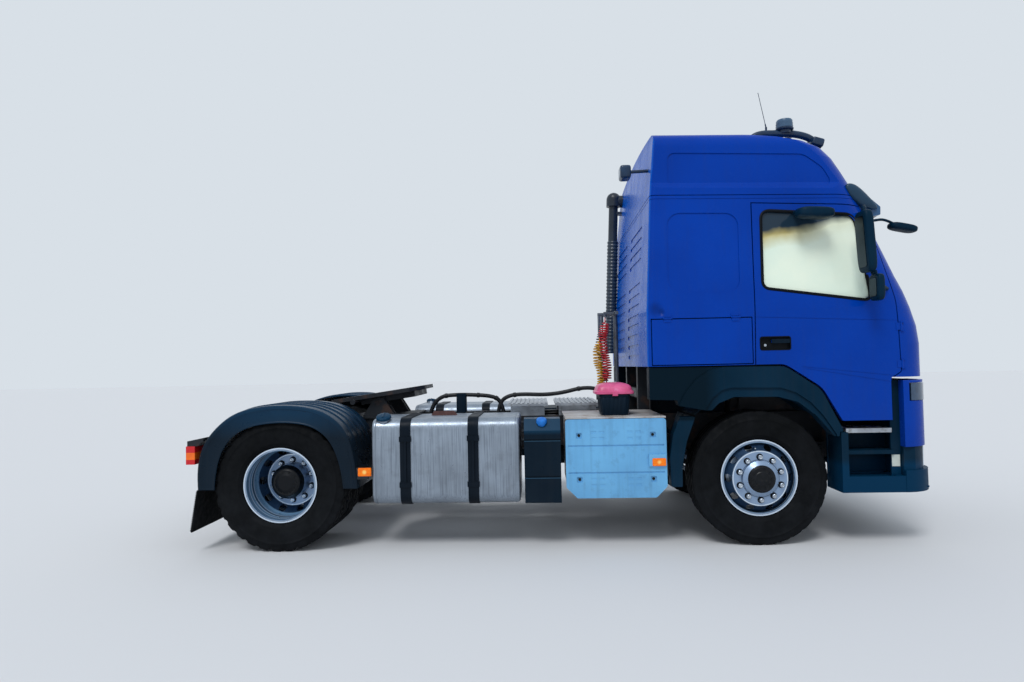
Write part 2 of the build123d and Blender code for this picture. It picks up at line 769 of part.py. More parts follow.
def fifth_wheel_plate():
    """Top plate with two ramps, kingpin throat, ribs, pivot ears and the release handle."""
    outline = rounded([(420, -230), (420, 230), (300, plate_half - 30), (120, plate_half),
                       (-220, plate_half), (-470, 300), (-490, 170), (-330, 130), (-60, 34),
                       (-60, -34), (-330, -130), (-490, -170), (-470, -300),
                       (-220, -plate_half), (120, -plate_half), (300, -plate_half + 30)],
                      [60, 60, 60, 80, 80, 60, 30, 30, 10, 10, 30, 30, 60, 80, 80, 60])
    throat = Pos(-30, 0) * Rectangle(64, 60) + Circle(kingpin_diameter / 2 + 1)
    plate = top_solid(outline - throat, 70 - plate_thick, 70)
    plate += block(-180, 330, -330, -310, -20, 40)
    plate += block(-180, 330, 310, 330, -20, 40)
    plate += block(310, 330, -330, 330, -20, 40)
    plate += block(-60, 160, -120, -80, -15, 40)
    plate += block(-60, 160, 80, 120, -15, 40)
    ears = []
    for side in (1, -1):
        ears.append(rod_y(0, 0, 55, *sorted((side * 305, side * 355))))
    for ear in ears:
        plate += ear
        plate += block(-55, 55, min(ear.bounding_box().min.Y, ear.bounding_box().max.Y),
                       ear.bounding_box().max.Y, 0, 50)
    plate -= rod_y(0, 0, pivot_radius + 1, -400, 400)
    plate += rod_y(-200, 20, 9, handle_end, -315)
    plate += rod_y(-200, 20, 22, handle_end - 12, handle_end + 10)
    return coupling_place(plate)


def fifth_wheel_mount():
    """Base plate across the rails, four pedestal cheeks and the two pivot pins."""
    pivot_z = coupling_z - 70
    base = block(coupling_x - 300, coupling_x + 300, -rail_outer - 20, rail_outer + 20,
                 frame_top, frame_top + 16)
    for side in (1, -1):
        for y in (285, 375):
            cheek = side_solid(make_face(Polyline(
                (coupling_x - 150, frame_top + 15), (coupling_x + 150, frame_top + 15),
                (coupling_x + 45, pivot_z + 20), (coupling_x - 45, pivot_z + 20), close=True)),
                *sorted((side * (y - 8), side * (y + 8))))
            base += cheek
        base += rod_y(coupling_x, pivot_z, pivot_radius, *sorted((side * 277, side * 383)))
    return base


save("fifth_wheel_plate", fifth_wheel_plate())
save("fifth_wheel_mount", fifth_wheel_mount())

# Toolbox on the exhaust deck
toolbox_front = front_axle - 943
toolbox_rear = front_axle - 1284
toolbox_outer = -1105
toolbox_inner = -800
toolbox_base = exhaust_top + 12 + seat_gap
toolbox_rim = toolbox_base + 150
lid_hinge_y = toolbox_inner + 20
lid_hinge_z = toolbox_rim + 2
lid_barrel_half = 24
lid_pin_radius = 4
lid_hinge_places = [toolbox_rear + 85, toolbox_front - 85]


def toolbox():
    """Open plastic tub."""
    tub = block(toolbox_rear, toolbox_front, toolbox_outer, toolbox_inner,
                toolbox_base, toolbox_rim)
    tub = fillet(tub.edges().filter_by(Axis.Z), 30)
    tub -= block(toolbox_rear + 6, toolbox_front - 6, toolbox_outer + 6, toolbox_inner - 6,
                 toolbox_base + 6, toolbox_rim + 1)
    for x in lid_hinge_places:
        for end in (-1, 1):
            ear = x + end * (lid_barrel_half + 3.5)
            tub += block(ear - 3, ear + 3, toolbox_inner - 3, lid_hinge_y + 7,
                         toolbox_rim - 40, lid_hinge_z)
            tub += rod_x(lid_hinge_y, lid_hinge_z, 7, ear - 3, ear + 3)
        tub += rod_x(lid_hinge_y, lid_hinge_z, lid_pin_radius, x - lid_barrel_half - 4,
                     x + lid_barrel_half + 4)
    return tub


def toolbox_lid():
    """Domed lid with a skirt, hinged along its inboard edge."""
    z0 = toolbox_rim + 5
    lid = block(toolbox_rear - 12, toolbox_front + 12, toolbox_outer - 12, toolbox_inner + 12,
                z0, z0 + 85)
    lid = fillet(lid.edges().filter_by(Axis.Z), 36)
    lid = fillet(lid.faces().sort_by(Axis.Z)[-1].edges(), 34)
    lid -= block(toolbox_rear + 6, toolbox_front - 6, toolbox_outer + 6, toolbox_inner - 6,
                 z0 - 1, z0 + 50)
    for x in lid_hinge_places:
        lid += rod_x(lid_hinge_y, lid_hinge_z, 7, x - lid_barrel_half, x + lid_barrel_half)
        lid += block(x - lid_barrel_half, x + lid_barrel_half, toolbox_inner + 8, lid_hinge_y,
                     z0, z0 + 4)
        lid -= rod_x(lid_hinge_y, lid_hinge_z, lid_pin_radius + running_gap,
                     x - lid_barrel_half - 1, x + lid_barrel_half + 1)
    return lid


save("toolbox", toolbox())
save("toolbox_lid", toolbox_lid())

# Stand and coiled lines behind the cab
stand_x = front_axle - 985
stand_y = -200
stand_top = 1930
coil_radius = 46
coil_table = [("coil_red", stand_x - 105, -290, 1880, 1250),
              ("coil_yellow", stand_x - 150, -170, 1700, 1190),
              ("coil_black", stand_x - 110, -50, 1800, 1215)]
sag = 26


def hose_stand():
    """Upright tube with an upper arm that carries the lines and a lower parking rail."""
    stand = rod_z(stand_x, stand_y, 22, frame_top + 84, stand_top)
    stand += block(stand_x - 60, stand_x + 60, stand_y - 60, stand_y + 60,
                   frame_top + 76, frame_top + 90)
    stand += block(stand_x - 60, stand_x + 60, -rail_outer, stand_y + 60,
                   frame_top + 66, frame_top + 78)
    stand += block(stand_x - 60, stand_x + 60, -rail_outer, -rail_outer + 40,
                   frame_top, frame_top + 78)
    stand += block(stand_x - 18, stand_x + 12, -350, 20, stand_top - 30, stand_top)
    stand += block(stand_x - 18, stand_x + 12, -350, 20, 1140, 1165)
    for _, x, y, top, bottom in coil_table:
        stand += block(x - 14, stand_x, y - 14, y + 14, stand_top - 26, stand_top - 4)
        stand += rod_z(x, y, 14, top, stand_top - 4)
        stand += block(x - 20, stand_x, y - 20, y + 20, 1142, 1162)
        stand += rod_z(x, y, 20, 1142, bottom)
    return stand


def coil_route(x, y, top, bottom):
    """Points down the middle of one hanging coil, which sways a little."""
    height = top - bottom
    return [(x, y, top), (x, y, top - 0.1 * height), (x - sag, y + 6, top - 0.3 * height),
            (x - 0.6 * sag, y - 8, top - 0.5 * height), (x + 0.5 * sag, y + 4, top - 0.72 * height),
            (x, y, top - 0.9 * height), (x, y, bottom)]


def route_radii(points):
    """Arc radius at each inner point, as large as its two runs allow."""
    radii = []
    for before, here, after in zip(points, points[1:], points[2:]):
        first = Vector(*here) - Vector(*before)
        second = Vector(*after) - Vector(*here)
        turn = first.get_angle(second)
        run = min(first.length, second.length)
        radii.append(0.45 * run / tan_half(turn))
    return radii


def tan_half(degrees_turned):
    """Tangent of half an angle given in degrees."""
    return tan(radians(degrees_turned) / 2)


def coil(x, y, top, bottom):
    """Outer form of one coiled line."""
    points = coil_route(x, y, top, bottom)
    radii = route_radii(points)
    path = FilletPolyline(*points, radius=radii)
    start = Plane(origin=path @ 0, z_dir=path % 0)
    return sweep(start * Circle(coil_radius), path=path)


save("hose_stand", hose_stand())
for name, x, y, top, bottom in coil_table:
    save(name, coil(x, y, top, bottom))

# Cab body. Each level gives height, half width and the front edge behind cab_front.
cab_levels = [(1150, 1245, 0), (1560, 1245, 0), (1700, 1245, 18), (1850, 1242, 62),
              (1975, 1232, 105), (2100, 1219, 160), (2260, 1203, 222), (2460, 1183, 302),
              (2640, 1166, 372), (2792, 1153, 423), (2885, 1143, 470), (2980, 1133, 520),
              (3080, 1122, 575), (3170, 1113, 655), (3220, 1108, 760), (3260, 1104, 950),
              (3300, 1100, 1250), (3420, 1090, 1520)]


def rear_setback(z):
    """How far the rear wall stands forward of its foot at one height."""
    lower = belt_lean * max(0, min(z, seam_rear_z) - belt_z)
    upper = roof_lean * max(0, min(z, roof_edge_z) - seam_rear_z)
    return lower + upper


def cab_section(z, half_width, setback, inset):
    """Plan of the cab at one height: square behind, bowed and rounded in front."""
    w = half_width - inset
    front = cab_front - setback - inset
    rear = cab_rear + inset + rear_setback(z)
    corner = front - front_bow
    rim = Polyline((corner, w), (rear, w), (rear, -w), (corner, -w))
    bow = ThreePointArc((corner, -w), (front, 0), (corner, w))
    face = make_face([*rim.edges(), bow])
    ends = face.vertices().sort_by(Axis.X)
    face = fillet(ends[-2:], corner_radius - inset)
    ends = face.vertices().sort_by(Axis.X)
    face = fillet(ends[:2], 45)
    return Pos(0, 0, z) * face


def roof_section(inset):
    """Outline across the cab that rounds the roof's long edges."""
    crown = roof_crown_z - inset
    edge = roof_edge_z - inset
    w = 1260 - inset
    shoulder = 1100 - inset
    top = ThreePointArc((shoulder, edge), (0, crown), (-shoulder, edge))
    sides = Polyline((-shoulder, edge), (-shoulder - 20, 2900), (-w, 2650), (-w, 1000),
                     (w, 1000), (w, 2650), (shoulder + 20, 2900), (shoulder, edge))
    face = make_face([top, *sides.edges()])
    peaks = face.vertices().filter_by(lambda v: v.Y > edge - 1)
    return fillet(peaks, 150 - inset)


cab_forms = {}


def cab_form(inset):
    """Closed outer form of the cab, or the same form drawn in by a wall."""
    if inset not in cab_forms:
        sections = [cab_section(z, w, s, inset) for z, w, s in cab_levels]
        across = front_solid(roof_section(inset), cab_rear - 50, cab_front + 50)
        pivot = Pos(cab_rear, 0, roof_edge_z)
        across = pivot * Rot(0, roof_slope, 0) * Pos(-cab_rear, 0, -roof_edge_z) * across
        cab_forms[inset] = loft(sections, ruled=True) & across
    return cab_forms[inset]


outer_form = cab_form(0)
wall = outer_form - cab_form(cab_wall)


def seam_slab(below, height):
    """Slab under or over the sloping roof seam, from a distance below it."""
    place = Pos(cab_rear, 0, seam_rear_z - below) * Rot(0, seam_slope, 0)
    return place * Pos(0, 0, height / 2) * Box(6000, 3000, abs(height))


seam_width = 6
seam_tool = seam_slab(0, 1200)
seam_lower = seam_slab(seam_width, -2400)

# Door, window, locker and flap outlines, in X from the front axle and Z
hinge_x = front_axle + 1082
hinge_y = body_half_width + 3


def placed(points):
    """Outline points measured from the front axle, moved into the truck's frame."""
    return [(front_axle + x, z) for x, z in points]


door_opening = rounded(placed([
    (-60, 1408), (193, 1408), (468, 1226), (618, 962), (1004, 962), (1004, 1290),
    (1078, 1340), (1062, 1900), (985, 2300), (905, 2664), (-60, 2708)]),
    [5, 120, 200, 20, 10, 20, 20, 200, 200, 60, 20])
door_outline = offset(door_opening, amount=-moving_gap)
window_hole = rounded(placed([(73, 2634), (52, 2017), (870, 1900), (795, 2580)]),
                      [70, 60, 50, 90])
rear_edge_low = 1125.6
rear_edge_high = 1090.1


def rear_edge_cone(side, gap):
    """Surface swept by the door's rear edge as it opens."""
    cone = Cone(rear_edge_low - gap, rear_edge_high - gap, 1900)
    return Pos(hinge_x, side * hinge_y, 900 + 950) * cone


def side_zone(sketch, side, depth=cab_wall + 25):
    """Region of one side wall inside an outline."""
    near, far = body_half_width - depth - 100, body_half_width + 30
    return side_solid(sketch, *sorted((side * near, side * far)))


def door_tool(side):
    return side_zone(door_opening, side) & rear_edge_cone(side, 0)


hinge_pin = 4
hinge_knuckle = 7
hinge_half = 36
door_hinge_heights = [1400, 1690]


def hinge_line(axis, place, radius, half):
    """Round bar of one hinge, along X, Y or Z through its place."""
    x, y, z = place
    if axis == "x":
        return rod_x(y, z, radius, x - half, x + half)
    if axis == "y":
        return rod_y(x, z, radius, y - half, y + half)
    return rod_z(x, y, radius, z - half, z + half)


def hinge_block(axis, place, reach_a, reach_b, half):
    """Box round one hinge line, reaching between two offsets across the line."""
    x, y, z = place
    (a0, b0), (a1, b1) = reach_a, reach_b
    if axis == "x":
        return block(x - half, x + half, *sorted((y + a0, y + a1)), *sorted((z + b0, z + b1)))
    if axis == "y":
        return block(*sorted((x + a0, x + a1)), y - half, y + half, *sorted((z + b0, z + b1)))
    return block(*sorted((x + a0, x + a1)), *sorted((y + b0, y + b1)), z - half, z + half)


def add_hinge(fixed, moving, axis, place, fixed_reach, moving_reach):
    """Cut the pocket, then give one side the pin with two ears and the other its barrel."""
    inner = hinge_half - 8
    fixed -= hinge_line(axis, place, hinge_knuckle + 4, hinge_half)
    moving -= hinge_line(axis, place, hinge_knuckle + 4, hinge_half)
    fixed -= hinge_block(axis, place, (0, 0), moving_reach, inner + 1)
    ears = hinge_line(axis, place, hinge_knuckle, hinge_half)
    ears += hinge_block(axis, place, (0, 0), fixed_reach, hinge_half)
    ears -= hinge_line(axis, place, 60, inner + 0.5)
    moving -= hinge_block(axis, place, (0, 0), fixed_reach, hinge_half)
    fixed += ears
    fixed += hinge_line(axis, place, hinge_pin, hinge_half)
    barrel = hinge_line(axis, place, hinge_knuckle, inner)
    barrel += hinge_block(axis, place, (0, 0), moving_reach, inner)
    moving += barrel
    moving -= hinge_line(axis, place, hinge_pin + running_gap, inner + 1)
    return fixed, moving


locker_bottom = sill_z + 5
locker_top = belt_z
locker_front = front_axle - 44
locker_rear = cab_rear + 30
flap_half = 860
flap_bottom = floor_z
flap_top = 1555


def locker_zone(side, gap):
    """Region of the outside locker hatch, its lower edge on the hinge's arc."""
    zone = block(locker_rear + gap, locker_front - gap,
                 *sorted((side * (body_half_width - 110), side * (body_half_width + 30))),
                 locker_bottom - 40, locker_top - gap)
    reach = locker_top - locker_bottom - gap
    arc = rod_x(side * (body_half_width + 3), locker_top, reach, locker_rear, locker_front)
    return zone & arc


def flap_zone(gap):
    """Region of the front service flap, its lower edge on the hinge's arc."""
    zone = block(cab_front - 250, cab_front + 30, -flap_half + gap, flap_half - gap,
                 flap_bottom - 40, flap_top - gap)
    reach = flap_top - flap_bottom - gap
    return zone & rod_y(cab_front + 3, flap_top, reach, -flap_half, flap_half)


screen_half = 1035
screen_hole = rounded([(-screen_half, 1625), (screen_half, 1625),
                       (screen_half - 60, 2635), (-screen_half + 60, 2635)], 80)


rear_rib_heights = [first + 90 * rib for first in (1500, 1850, 2330) for rib in range(4)]
rear_rib_inner = 130
rear_rib_outer = 800
press_depth = 7
groove_depth = 3


def cab_shell():
    """Steel body below the roof seam with its floor, openings and window frames."""
    body = wall & seam_lower
    body -= block(cab_rear - 10, front_axle + 1010, -1400, 1400, 1000, sill_z)
    body -= block(front_axle + 1000, cab_front + 100, -1400, 1400, 1000, floor_z)
    floor = block(cab_rear + 10, front_axle + 560, -1230, 1230, sill_z, sill_z + 40)
    floor += block(front_axle + 520, cab_front - 120, -1230, 1230, floor_z, floor_z + 40)
    floor += block(front_axle + 520, front_axle + 560, -1230, 1230, floor_z, sill_z + 40)
    floor += block(cab_front - 160, cab_front - 130, -1010, 1010, floor_z + 10, 1600)
    body += floor & cab_form(cab_wall - 5)
    for side in (1, -1):
        body -= door_tool(side)
        body -= locker_zone(side, 0)
    body -= flap_zone(0)
    body -= front_solid(screen_hole, cab_front - 700, cab_front + 50)
    skin = outer_form - cab_form(press_depth)
    panel = rounded(placed([(-687, 1994), (-129, 1981), (-110, 2622), (-670, 2638)]), 105)
    for side in (1, -1):
        body -= side_solid(panel, *sorted((side * 1100, side * 1300))) & skin
        for z in rear_rib_heights:
            middle = side * (rear_rib_inner + rear_rib_outer) / 2
            rib = Pos(middle, z) * RectangleRounded(rear_rib_outer - rear_rib_inner, 34, 15)
            body -= front_solid(rib, cab_rear - 1, cab_rear + 150) & skin
    body -= seam_slab(36, 5) & (outer_form - cab_form(groove_depth))
    for side in (1, -1):
        y0, y1 = sorted((side * tilt_arm_y, side * (tilt_arm_y + 18)))
        arm = make_face(Polyline(
            (tilt_x - 480, floor_z + 5), (tilt_x - 380, floor_z + 5), (tilt_x + 6, tilt_z + 19),
            (tilt_x - 10, tilt_z - 18), close=True))
        body += side_solid(arm, y0, y1) + rod_y(tilt_x, tilt_z, tilt_eye_radius, y0, y1)
        body -= rod_y(tilt_x, tilt_z, tilt_pin_radius + running_gap, y0, y1)
    return body


def cab_roof():
    """High roof above the seam, with a pressed panel in each side."""
    roof = wall & seam_tool
    panel = rounded(placed([(-650, 2863), (-642, 3141), (440, 3098), (585, 2985), (672, 2824)]),
                    [60, 60, 140, 160, 50])
    for side in (1, -1):
        cut = side_solid(panel, *sorted((side * 1000, side * 1200)))
        roof -= cut & (outer_form - cab_form(press_depth))
    return roof


def door(side):
    """Door panel with its window frame, lower extension and recessed handle."""
    zone = side_zone(door_outline, side) & rear_edge_cone(side, moving_gap)
    panel = wall & zone
    lower = side_zone(door_outline, side) & block(
        front_axle - 100, front_axle + 1100,
        *sorted((side * (body_half_width - cab_wall), side * body_half_width)), 900, 1152)
    panel += lower
    panel -= side_zone(window_hole, side)
    belt = make_face(Polyline(*placed([(-60, 1785), (1080, 1734), (1080, 1738), (-60, 1789)]),
                              close=True))
    panel -= side_zone(belt, side) & (outer_form - cab_form(groove_depth))
    y = side * body_half_width
    for (x0, z0), (x1, z1), depth in (((330, 1395), (1020, 1314), 3), ((360, 1380), (1020, 1263), 6)):
        pressed = make_face(Polyline(*placed([(x0, z0), (x1, z1), (x1, 900), (x0, 900)]),
                                     close=True))
        panel -= side_solid(pressed, *sorted((y - side * depth, y + side * 5)))
    recess = rounded(placed([(8, 1527), (242, 1527), (242, 1630), (8, 1630)]), 18)
    panel -= side_solid(recess, *sorted((y - side * 22, y + side * 5)))
    panel += side_solid(rounded(placed([(100, 1580), (236, 1580), (236, 1610), (100, 1610)]), 8),
                        *sorted((y - side * 24, y - side * 4)))
    return panel


def door_glass(side):
    """Curved side window set in the door's frame."""
    pane = offset(window_hole, amount=-seat_gap)
    layer = cab_form(16) - cab_form(21)
    return layer & side_zone(pane, side)


def windscreen():
    """Laminated screen that fills its opening."""
    pane = offset(screen_hole, amount=-seat_gap)
    layer = cab_form(14) - cab_form(22)
    return layer & front_solid(pane, cab_front - 700, cab_front + 50)


def locker(side):
    """Outside locker hatch, cut from the cab wall."""
    return wall & locker_zone(side, moving_gap)


def front_flap():
    """Service flap under the windscreen."""
    return (outer_form - cab_form(30)) & flap_zone(moving_gap)


shell = cab_shell()
for name, side in (("left", 1), ("right", -1)):
    panel = door(side)
    for z in door_hinge_heights:
        shell, panel = add_hinge(shell, panel, "z", (hinge_x, side * hinge_y, z),
                                 (24, -side * 18), (-38, -side * 8))
    hatch = locker(side)
    for x in (locker_rear + 130, locker_front - 130):
        shell, hatch = add_hinge(shell, hatch, "x", (x, side * hinge_y, locker_top),
                                 (-side * 12, 26), (-side * 6, -30))
    save(f"door_{name}", panel)
    save(f"door_glass_{name}", door_glass(side))
    save(f"locker_{name}", hatch)
flap = front_flap()
for y in (-300, 300):
    shell, flap = add_hinge(shell, flap, "y", (cab_front + 3, y, flap_top),
                            (-30, 20), (-34, -22))
save("cab_shell", shell)
save("cab_roof", cab_roof())
save("windscreen", windscreen())
save("front_flap", flap)

# Rigid conduits from the stand to the rear of the frame, with a bracket box
conduit_y = -335
conduit_radius = 16
conduit_low = frame_top + seat_gap
conduit_end = conduit_low - 6


def conduit(points, bend):
    """Bent pipe through points given in X and Z."""
    path = FilletPolyline(*[(x, conduit_y, z) for x, z in points], radius=bend)
    start = Plane(origin=path @ 0, z_dir=path % 0)
    return sweep(start * Circle(conduit_radius), path=path)


def conduits():
    """Three pipes, of which two meet in the bracket box."""
    long_run = conduit([(stand_x - 18 - seat_gap, 1152), (stand_x - 75, 1152),
                        (stand_x - 263, 1250), (stand_x - 600, 1166), (stand_x - 938, 1185),
                        (stand_x - 1060, 1150), (stand_x - 1105, 1071),
                        (stand_x - 1115, conduit_end)], 30)
    box_x = front_axle - 2435
    rear_run = conduit([(front_axle - 2730, conduit_end), (front_axle - 2715, 1084),
                        (front_axle - 2625, 1165), (box_x - 36, 1185), (box_x, 1185)], 30)
    front_run = conduit([(box_x, 1185), (box_x + 40, 1185), (front_axle - 2140, 1170),
                         (front_axle - 2062, 1110), (front_axle - 2040, conduit_end)], 30)
    box = block(box_x - 45, box_x + 45, conduit_y - 38, conduit_y + 32, conduit_low, 1200)
    below = block(frame_rear, stand_x, conduit_y - 60, conduit_y + 60, frame_bottom, conduit_low)
    return [long_run - below, rear_run + front_run + box - below]


save("conduits", conduits())

# Front end on the frame: bumper, grille, corner panels and lamps
nose_front = front_axle + front_overhang - 18
bumper_front = front_axle + front_overhang
bumper_bottom = 416
bumper_top = 582
corner_bottom = 762
corner_top = floor_z - 26
corner_rear = front_axle + 1084
lamp_bottom = 1118
lamp_top = 1250
step_rear = front_axle + 605
step_inner = 962
step_outer = body_half_width - 5
tread_z = 905
nose_forms = {}


def nose_form(front, inset):
    """Upright form with the cab's bow and corners, for panels that wrap the nose."""
    if (front, inset) not in nose_forms:
        flat = cab_section(0, body_half_width - 2, cab_front - front, inset)
        nose_forms[front, inset] = extrude(flat, amount=1400)
    return nose_forms[front, inset]


def nose_panel(front, thick, x0, y0, y1, z0, z1):
    """Part of the nose skin between two widths and two heights."""
    skin = nose_form(front, 0) - nose_form(front, thick)
    return skin & block(x0, front + 10, y0, y1, z0, z1)


def corner_panel():
    """Painted corner panel with a cut-out for the lamp."""
    panel = nose_panel(nose_front, 28, corner_rear, 850, body_half_width, corner_bottom, corner_top)
    panel -= block(nose_front - 250, nose_front + 20, 862, body_half_width + 10,
                   lamp_bottom - 4, lamp_top + 4)
    panel += block(corner_rear, corner_rear + 8, step_outer - 90, step_outer - 22,
                   corner_bottom, corner_top)
    return panel


def headlamp():
    """Wrap-round lamp unit set in the corner panel."""
    return nose_panel(nose_front + 6, 70, nose_front - 235, 870, body_half_width,
                      lamp_bottom, lamp_top)


grille_bars = 9
front_lamp_y = 1040
front_lamp_z = bumper_top + 12


def bumper():
    """Moulded bumper, grille frame with bars, lower lamp housings and frame brackets."""
    whole = nose_panel(bumper_front, 60, corner_rear, -body_half_width, body_half_width,
                       bumper_bottom, bumper_top)
    whole += block(corner_rear, nose_front - 80, -body_half_width + 90,
                   body_half_width - 90, bumper_bottom + 20, bumper_bottom + 34)
    span = corner_top - bumper_top
    for side in (1, -1):
        y0, y1 = sorted((side * 842, side * (body_half_width - 30)))
        whole += nose_panel(nose_front - 18, 60, corner_rear, y0, y1, bumper_top - 2,
                            corner_bottom - 3)
        whole -= block(nose_front - 250, nose_front, *sorted((side * (front_lamp_y - 0.3),
                       side * (front_lamp_y + 40.3))), front_lamp_z - 0.3, corner_bottom - 13.7)
        y0, y1 = sorted((side * 800, side * 842))
        whole += nose_panel(nose_front - 4, 60, corner_rear, y0, y1, bumper_top - 2, corner_top)
    for bar in range(grille_bars):
        z = bumper_top + (bar + 0.5) * span / grille_bars
        whole += nose_panel(nose_front - 8, 34, corner_rear, -810, 810, z - 17, z + 17)
    whole += nose_panel(nose_front - 42, 14, corner_rear, -842, 842, bumper_top - 2, corner_top)
    for side in (1, -1):
        y0, y1 = sorted((side * (rail_outer - 70), side * rail_outer))
        whole += block(frame_front - 150, nose_front - 90, y0, y1, frame_bottom - 190,
                       frame_bottom)
        whole += block(nose_front - 150, nose_front - 54, y0, y1, frame_bottom - 190,
                       frame_bottom + 120)
    return whole


def entry_steps():
    """Moulded step well: lower box, rear post, middle step, inner wall and front wall."""
    outer = step_outer
    front = corner_rear - seat_gap
    well = block(step_rear, front, step_inner, outer, bumper_bottom, 540)
    well -= block(step_rear + 60, corner_rear - 60, step_inner + 40, outer - 24, 525, 545)
    well += block(step_rear, step_rear + 14, step_inner + 40, outer, 530, 880)
    well += block(step_rear, step_rear + 52, outer - 60, outer, 530, 880)
    well += block(step_rear, front, step_inner, step_inner + 12, 530, 890)
    well += block(step_rear + 10, corner_rear - 60, step_inner, outer - 46, 704, 734)
    well += block(corner_rear - 74, front, outer - 84, outer - 68, 530, corner_top)
    well += block(corner_rear - 18, front, step_inner, outer - 68, 530, corner_top)
    well += block(front_axle + 880, front_axle + 960, rail_outer, step_inner + 4,
                  frame_bottom + 20, frame_bottom + 80)
    return well


def step_tread():
    """Aluminium tread over the step well."""
    tread = block(step_rear + 56, corner_rear - 76, step_inner + 12 + seat_gap,
                  body_half_width - 50, tread_z - 22, tread_z)
    tread += block(step_rear + 56, corner_rear - 76, body_half_width - 60,
                   body_half_width - 48, tread_z - 34, tread_z)
    return tread


wing_inner = 640


def front_wing():
    """Mudguard section behind the front wheel, with its arm from the frame."""
    flange = rounded([(front_axle + x, z) for x, z in (
        (-624, 1020), (-505, 1018), (-575, 830), (-614, 640), (-616, 478), (-700, 478),
        (-708, 700), (-680, 880))], 8)
    wing = side_solid(flange, body_half_width - 115, body_half_width - 4)
    liner = make_face(Polyline(*[(front_axle + x, z) for x, z in (
        (-520, 1018), (-505, 1018), (-575, 830), (-614, 640), (-616, 478), (-631, 478),
        (-629, 640), (-590, 830))], close=True))
    wing += side_solid(liner, wing_inner, body_half_width - 110)
    wing += rod_y(front_axle - 622, 860, 20, rail_outer, body_half_width - 112)
    return wing


save("corner_panels", both(corner_panel()))
save("headlamps", both(headlamp()))
save("bumper", bumper())
save("steps_and_wings", both(entry_steps()), both(front_wing()))
save("walkways", catwalk(), both(step_tread()))


def marker_lamps():
    """Tail lamp clusters, amber side markers and lower front lamps."""
    lamps = []
    for side in (1, -1):
        y0, y1 = sorted((side * 900, side * 1235))
        rear = rear_axle - rear_overhang
        lamps.append(block(rear, rear + 72, y0, y1, 702, tail_bar_z - seat_gap))
        y = side * (body_half_width + seat_gap)
        if side < 0:
            lamps.append(block(exhaust_front - 140, exhaust_front - 8, *sorted((y, y + side * 16)),
                               645, 735))
        else:
            lamps.append(block(battery_front - 140, battery_front - 8,
                               *sorted((side * 1225.3, side * 1241)), 645, 735))
        (high_x, high_z), (low_x, low_z) = guard_points[-2:]
        edge = [(rear_axle + high_x + (high_z - z) * (low_x - high_x) / (high_z - low_z), z)
                for z in (660, 570)]
        back = [(x + seat_gap, z) for x, z in edge]
        lens = make_face(Polyline(*back, (edge[1][0] + 88, 570), (edge[0][0] + 88, 660),
                                  close=True))
        lamps.append(side_solid(lens, *sorted((side * 1225, side * 1250))))
        y0, y1 = sorted((side * front_lamp_y, side * (front_lamp_y + 40)))
        lamps.append(nose_panel(nose_front - 12, 58, corner_rear, y0, y1, front_lamp_z,
                                corner_bottom - 14))
    return lamps


save("marker_lamps", marker_lamps())

# Cab trim and fittings
liner_radius = 690


def arch_trim():
    """Wheel arch flare with the dark panel behind it and the liner over the tyre."""
    flare = rounded(placed([
        (-852, 1406), (193, 1400), (464, 1216), (618, 904), (616, 888), (596, 888),
        (590, 852), (560, 852), (430, 1010), (292, 1120), (142, 1163), (-201, 1167),
        (-317, 1121), (-372, 1066), (-415, 1066), (-626, 1105), (-640, 1150), (-852, 1156)]),
        [5, 150, 200, 5, 4, 4, 4, 10, 120, 90, 60, 60, 50, 10, 10, 5, 10, 5])
    trim = side_solid(flare, body_half_width - 130, body_half_width)
    behind = make_face(Polyline(*placed([
        (-860, 1420), (-250, 1420), (-264, 1404), (-379, 1384), (-496, 1308), (-586, 1194),
        (-632, 1100), (-660, 1090), (-860, 1140)]), close=True))
    lip = make_face(Polyline(*placed([
        (-430, 1050), (-415, 1090), (-371, 1161), (-296, 1223), (-219, 1241), (161, 1234),
        (274, 1194), (385, 1115), (476, 1012), (568, 870), (575, 840), (500, 840),
        (100, 1100), (-300, 1060)]), close=True))
    for step_back, depth in ((behind, 10), (lip, 16)):
        trim -= side_solid(step_back, body_half_width - depth, body_half_width + 5)
    trim += block(cab_rear + 15, front_axle + 180, body_half_width - 125, body_half_width - 70,
                  1380, sill_z)
    ring = Circle(liner_radius + 10) - Circle(liner_radius)
    ring = ring & (Pos(0, 1000) * Rectangle(960, 1200))
    liner = side_solid(Pos(front_axle, wheel_z) * ring, 660, body_half_width - 125)
    return trim + liner


visor_reach = 8300


def sun_visor():
    """Smoked visor bowed round the top of the windscreen, closed by a cheek at each end."""
    cheek = rounded(placed([(853, 2854), (937, 2866), (1010, 2788), (1131, 2668), (1129, 2604),
                            (1070, 2592), (963, 2661), (899, 2740)]),
                    [10, 20, 30, 16, 8, 8, 20, 20])
    hollow = rounded(placed([(850, 2826), (928, 2842), (1000, 2766), (1112, 2656), (1110, 2560),
                             (850, 2560)]), [10, 20, 30, 12, 10, 10])
    halves = []
    for profile, half_turn in ((cheek, 7.2), (hollow, 7.0)):
        flat = Plane(origin=(0, 0, 0), x_dir=(1, 0, 0), z_dir=(0, -1, 0)) * profile
        axis = Axis((front_axle + 1140 - visor_reach, 0, 0), (0, 0, 1))
        half = revolve(flat, axis, half_turn)
        halves.append(half + mirror(half, about=Plane.XZ))
    return halves[0] - halves[1] - cab_form(-seat_gap)


stack_x = cab_rear - 62
stack_y = 900
stack_foot = 1560
stack_lean = 2.6


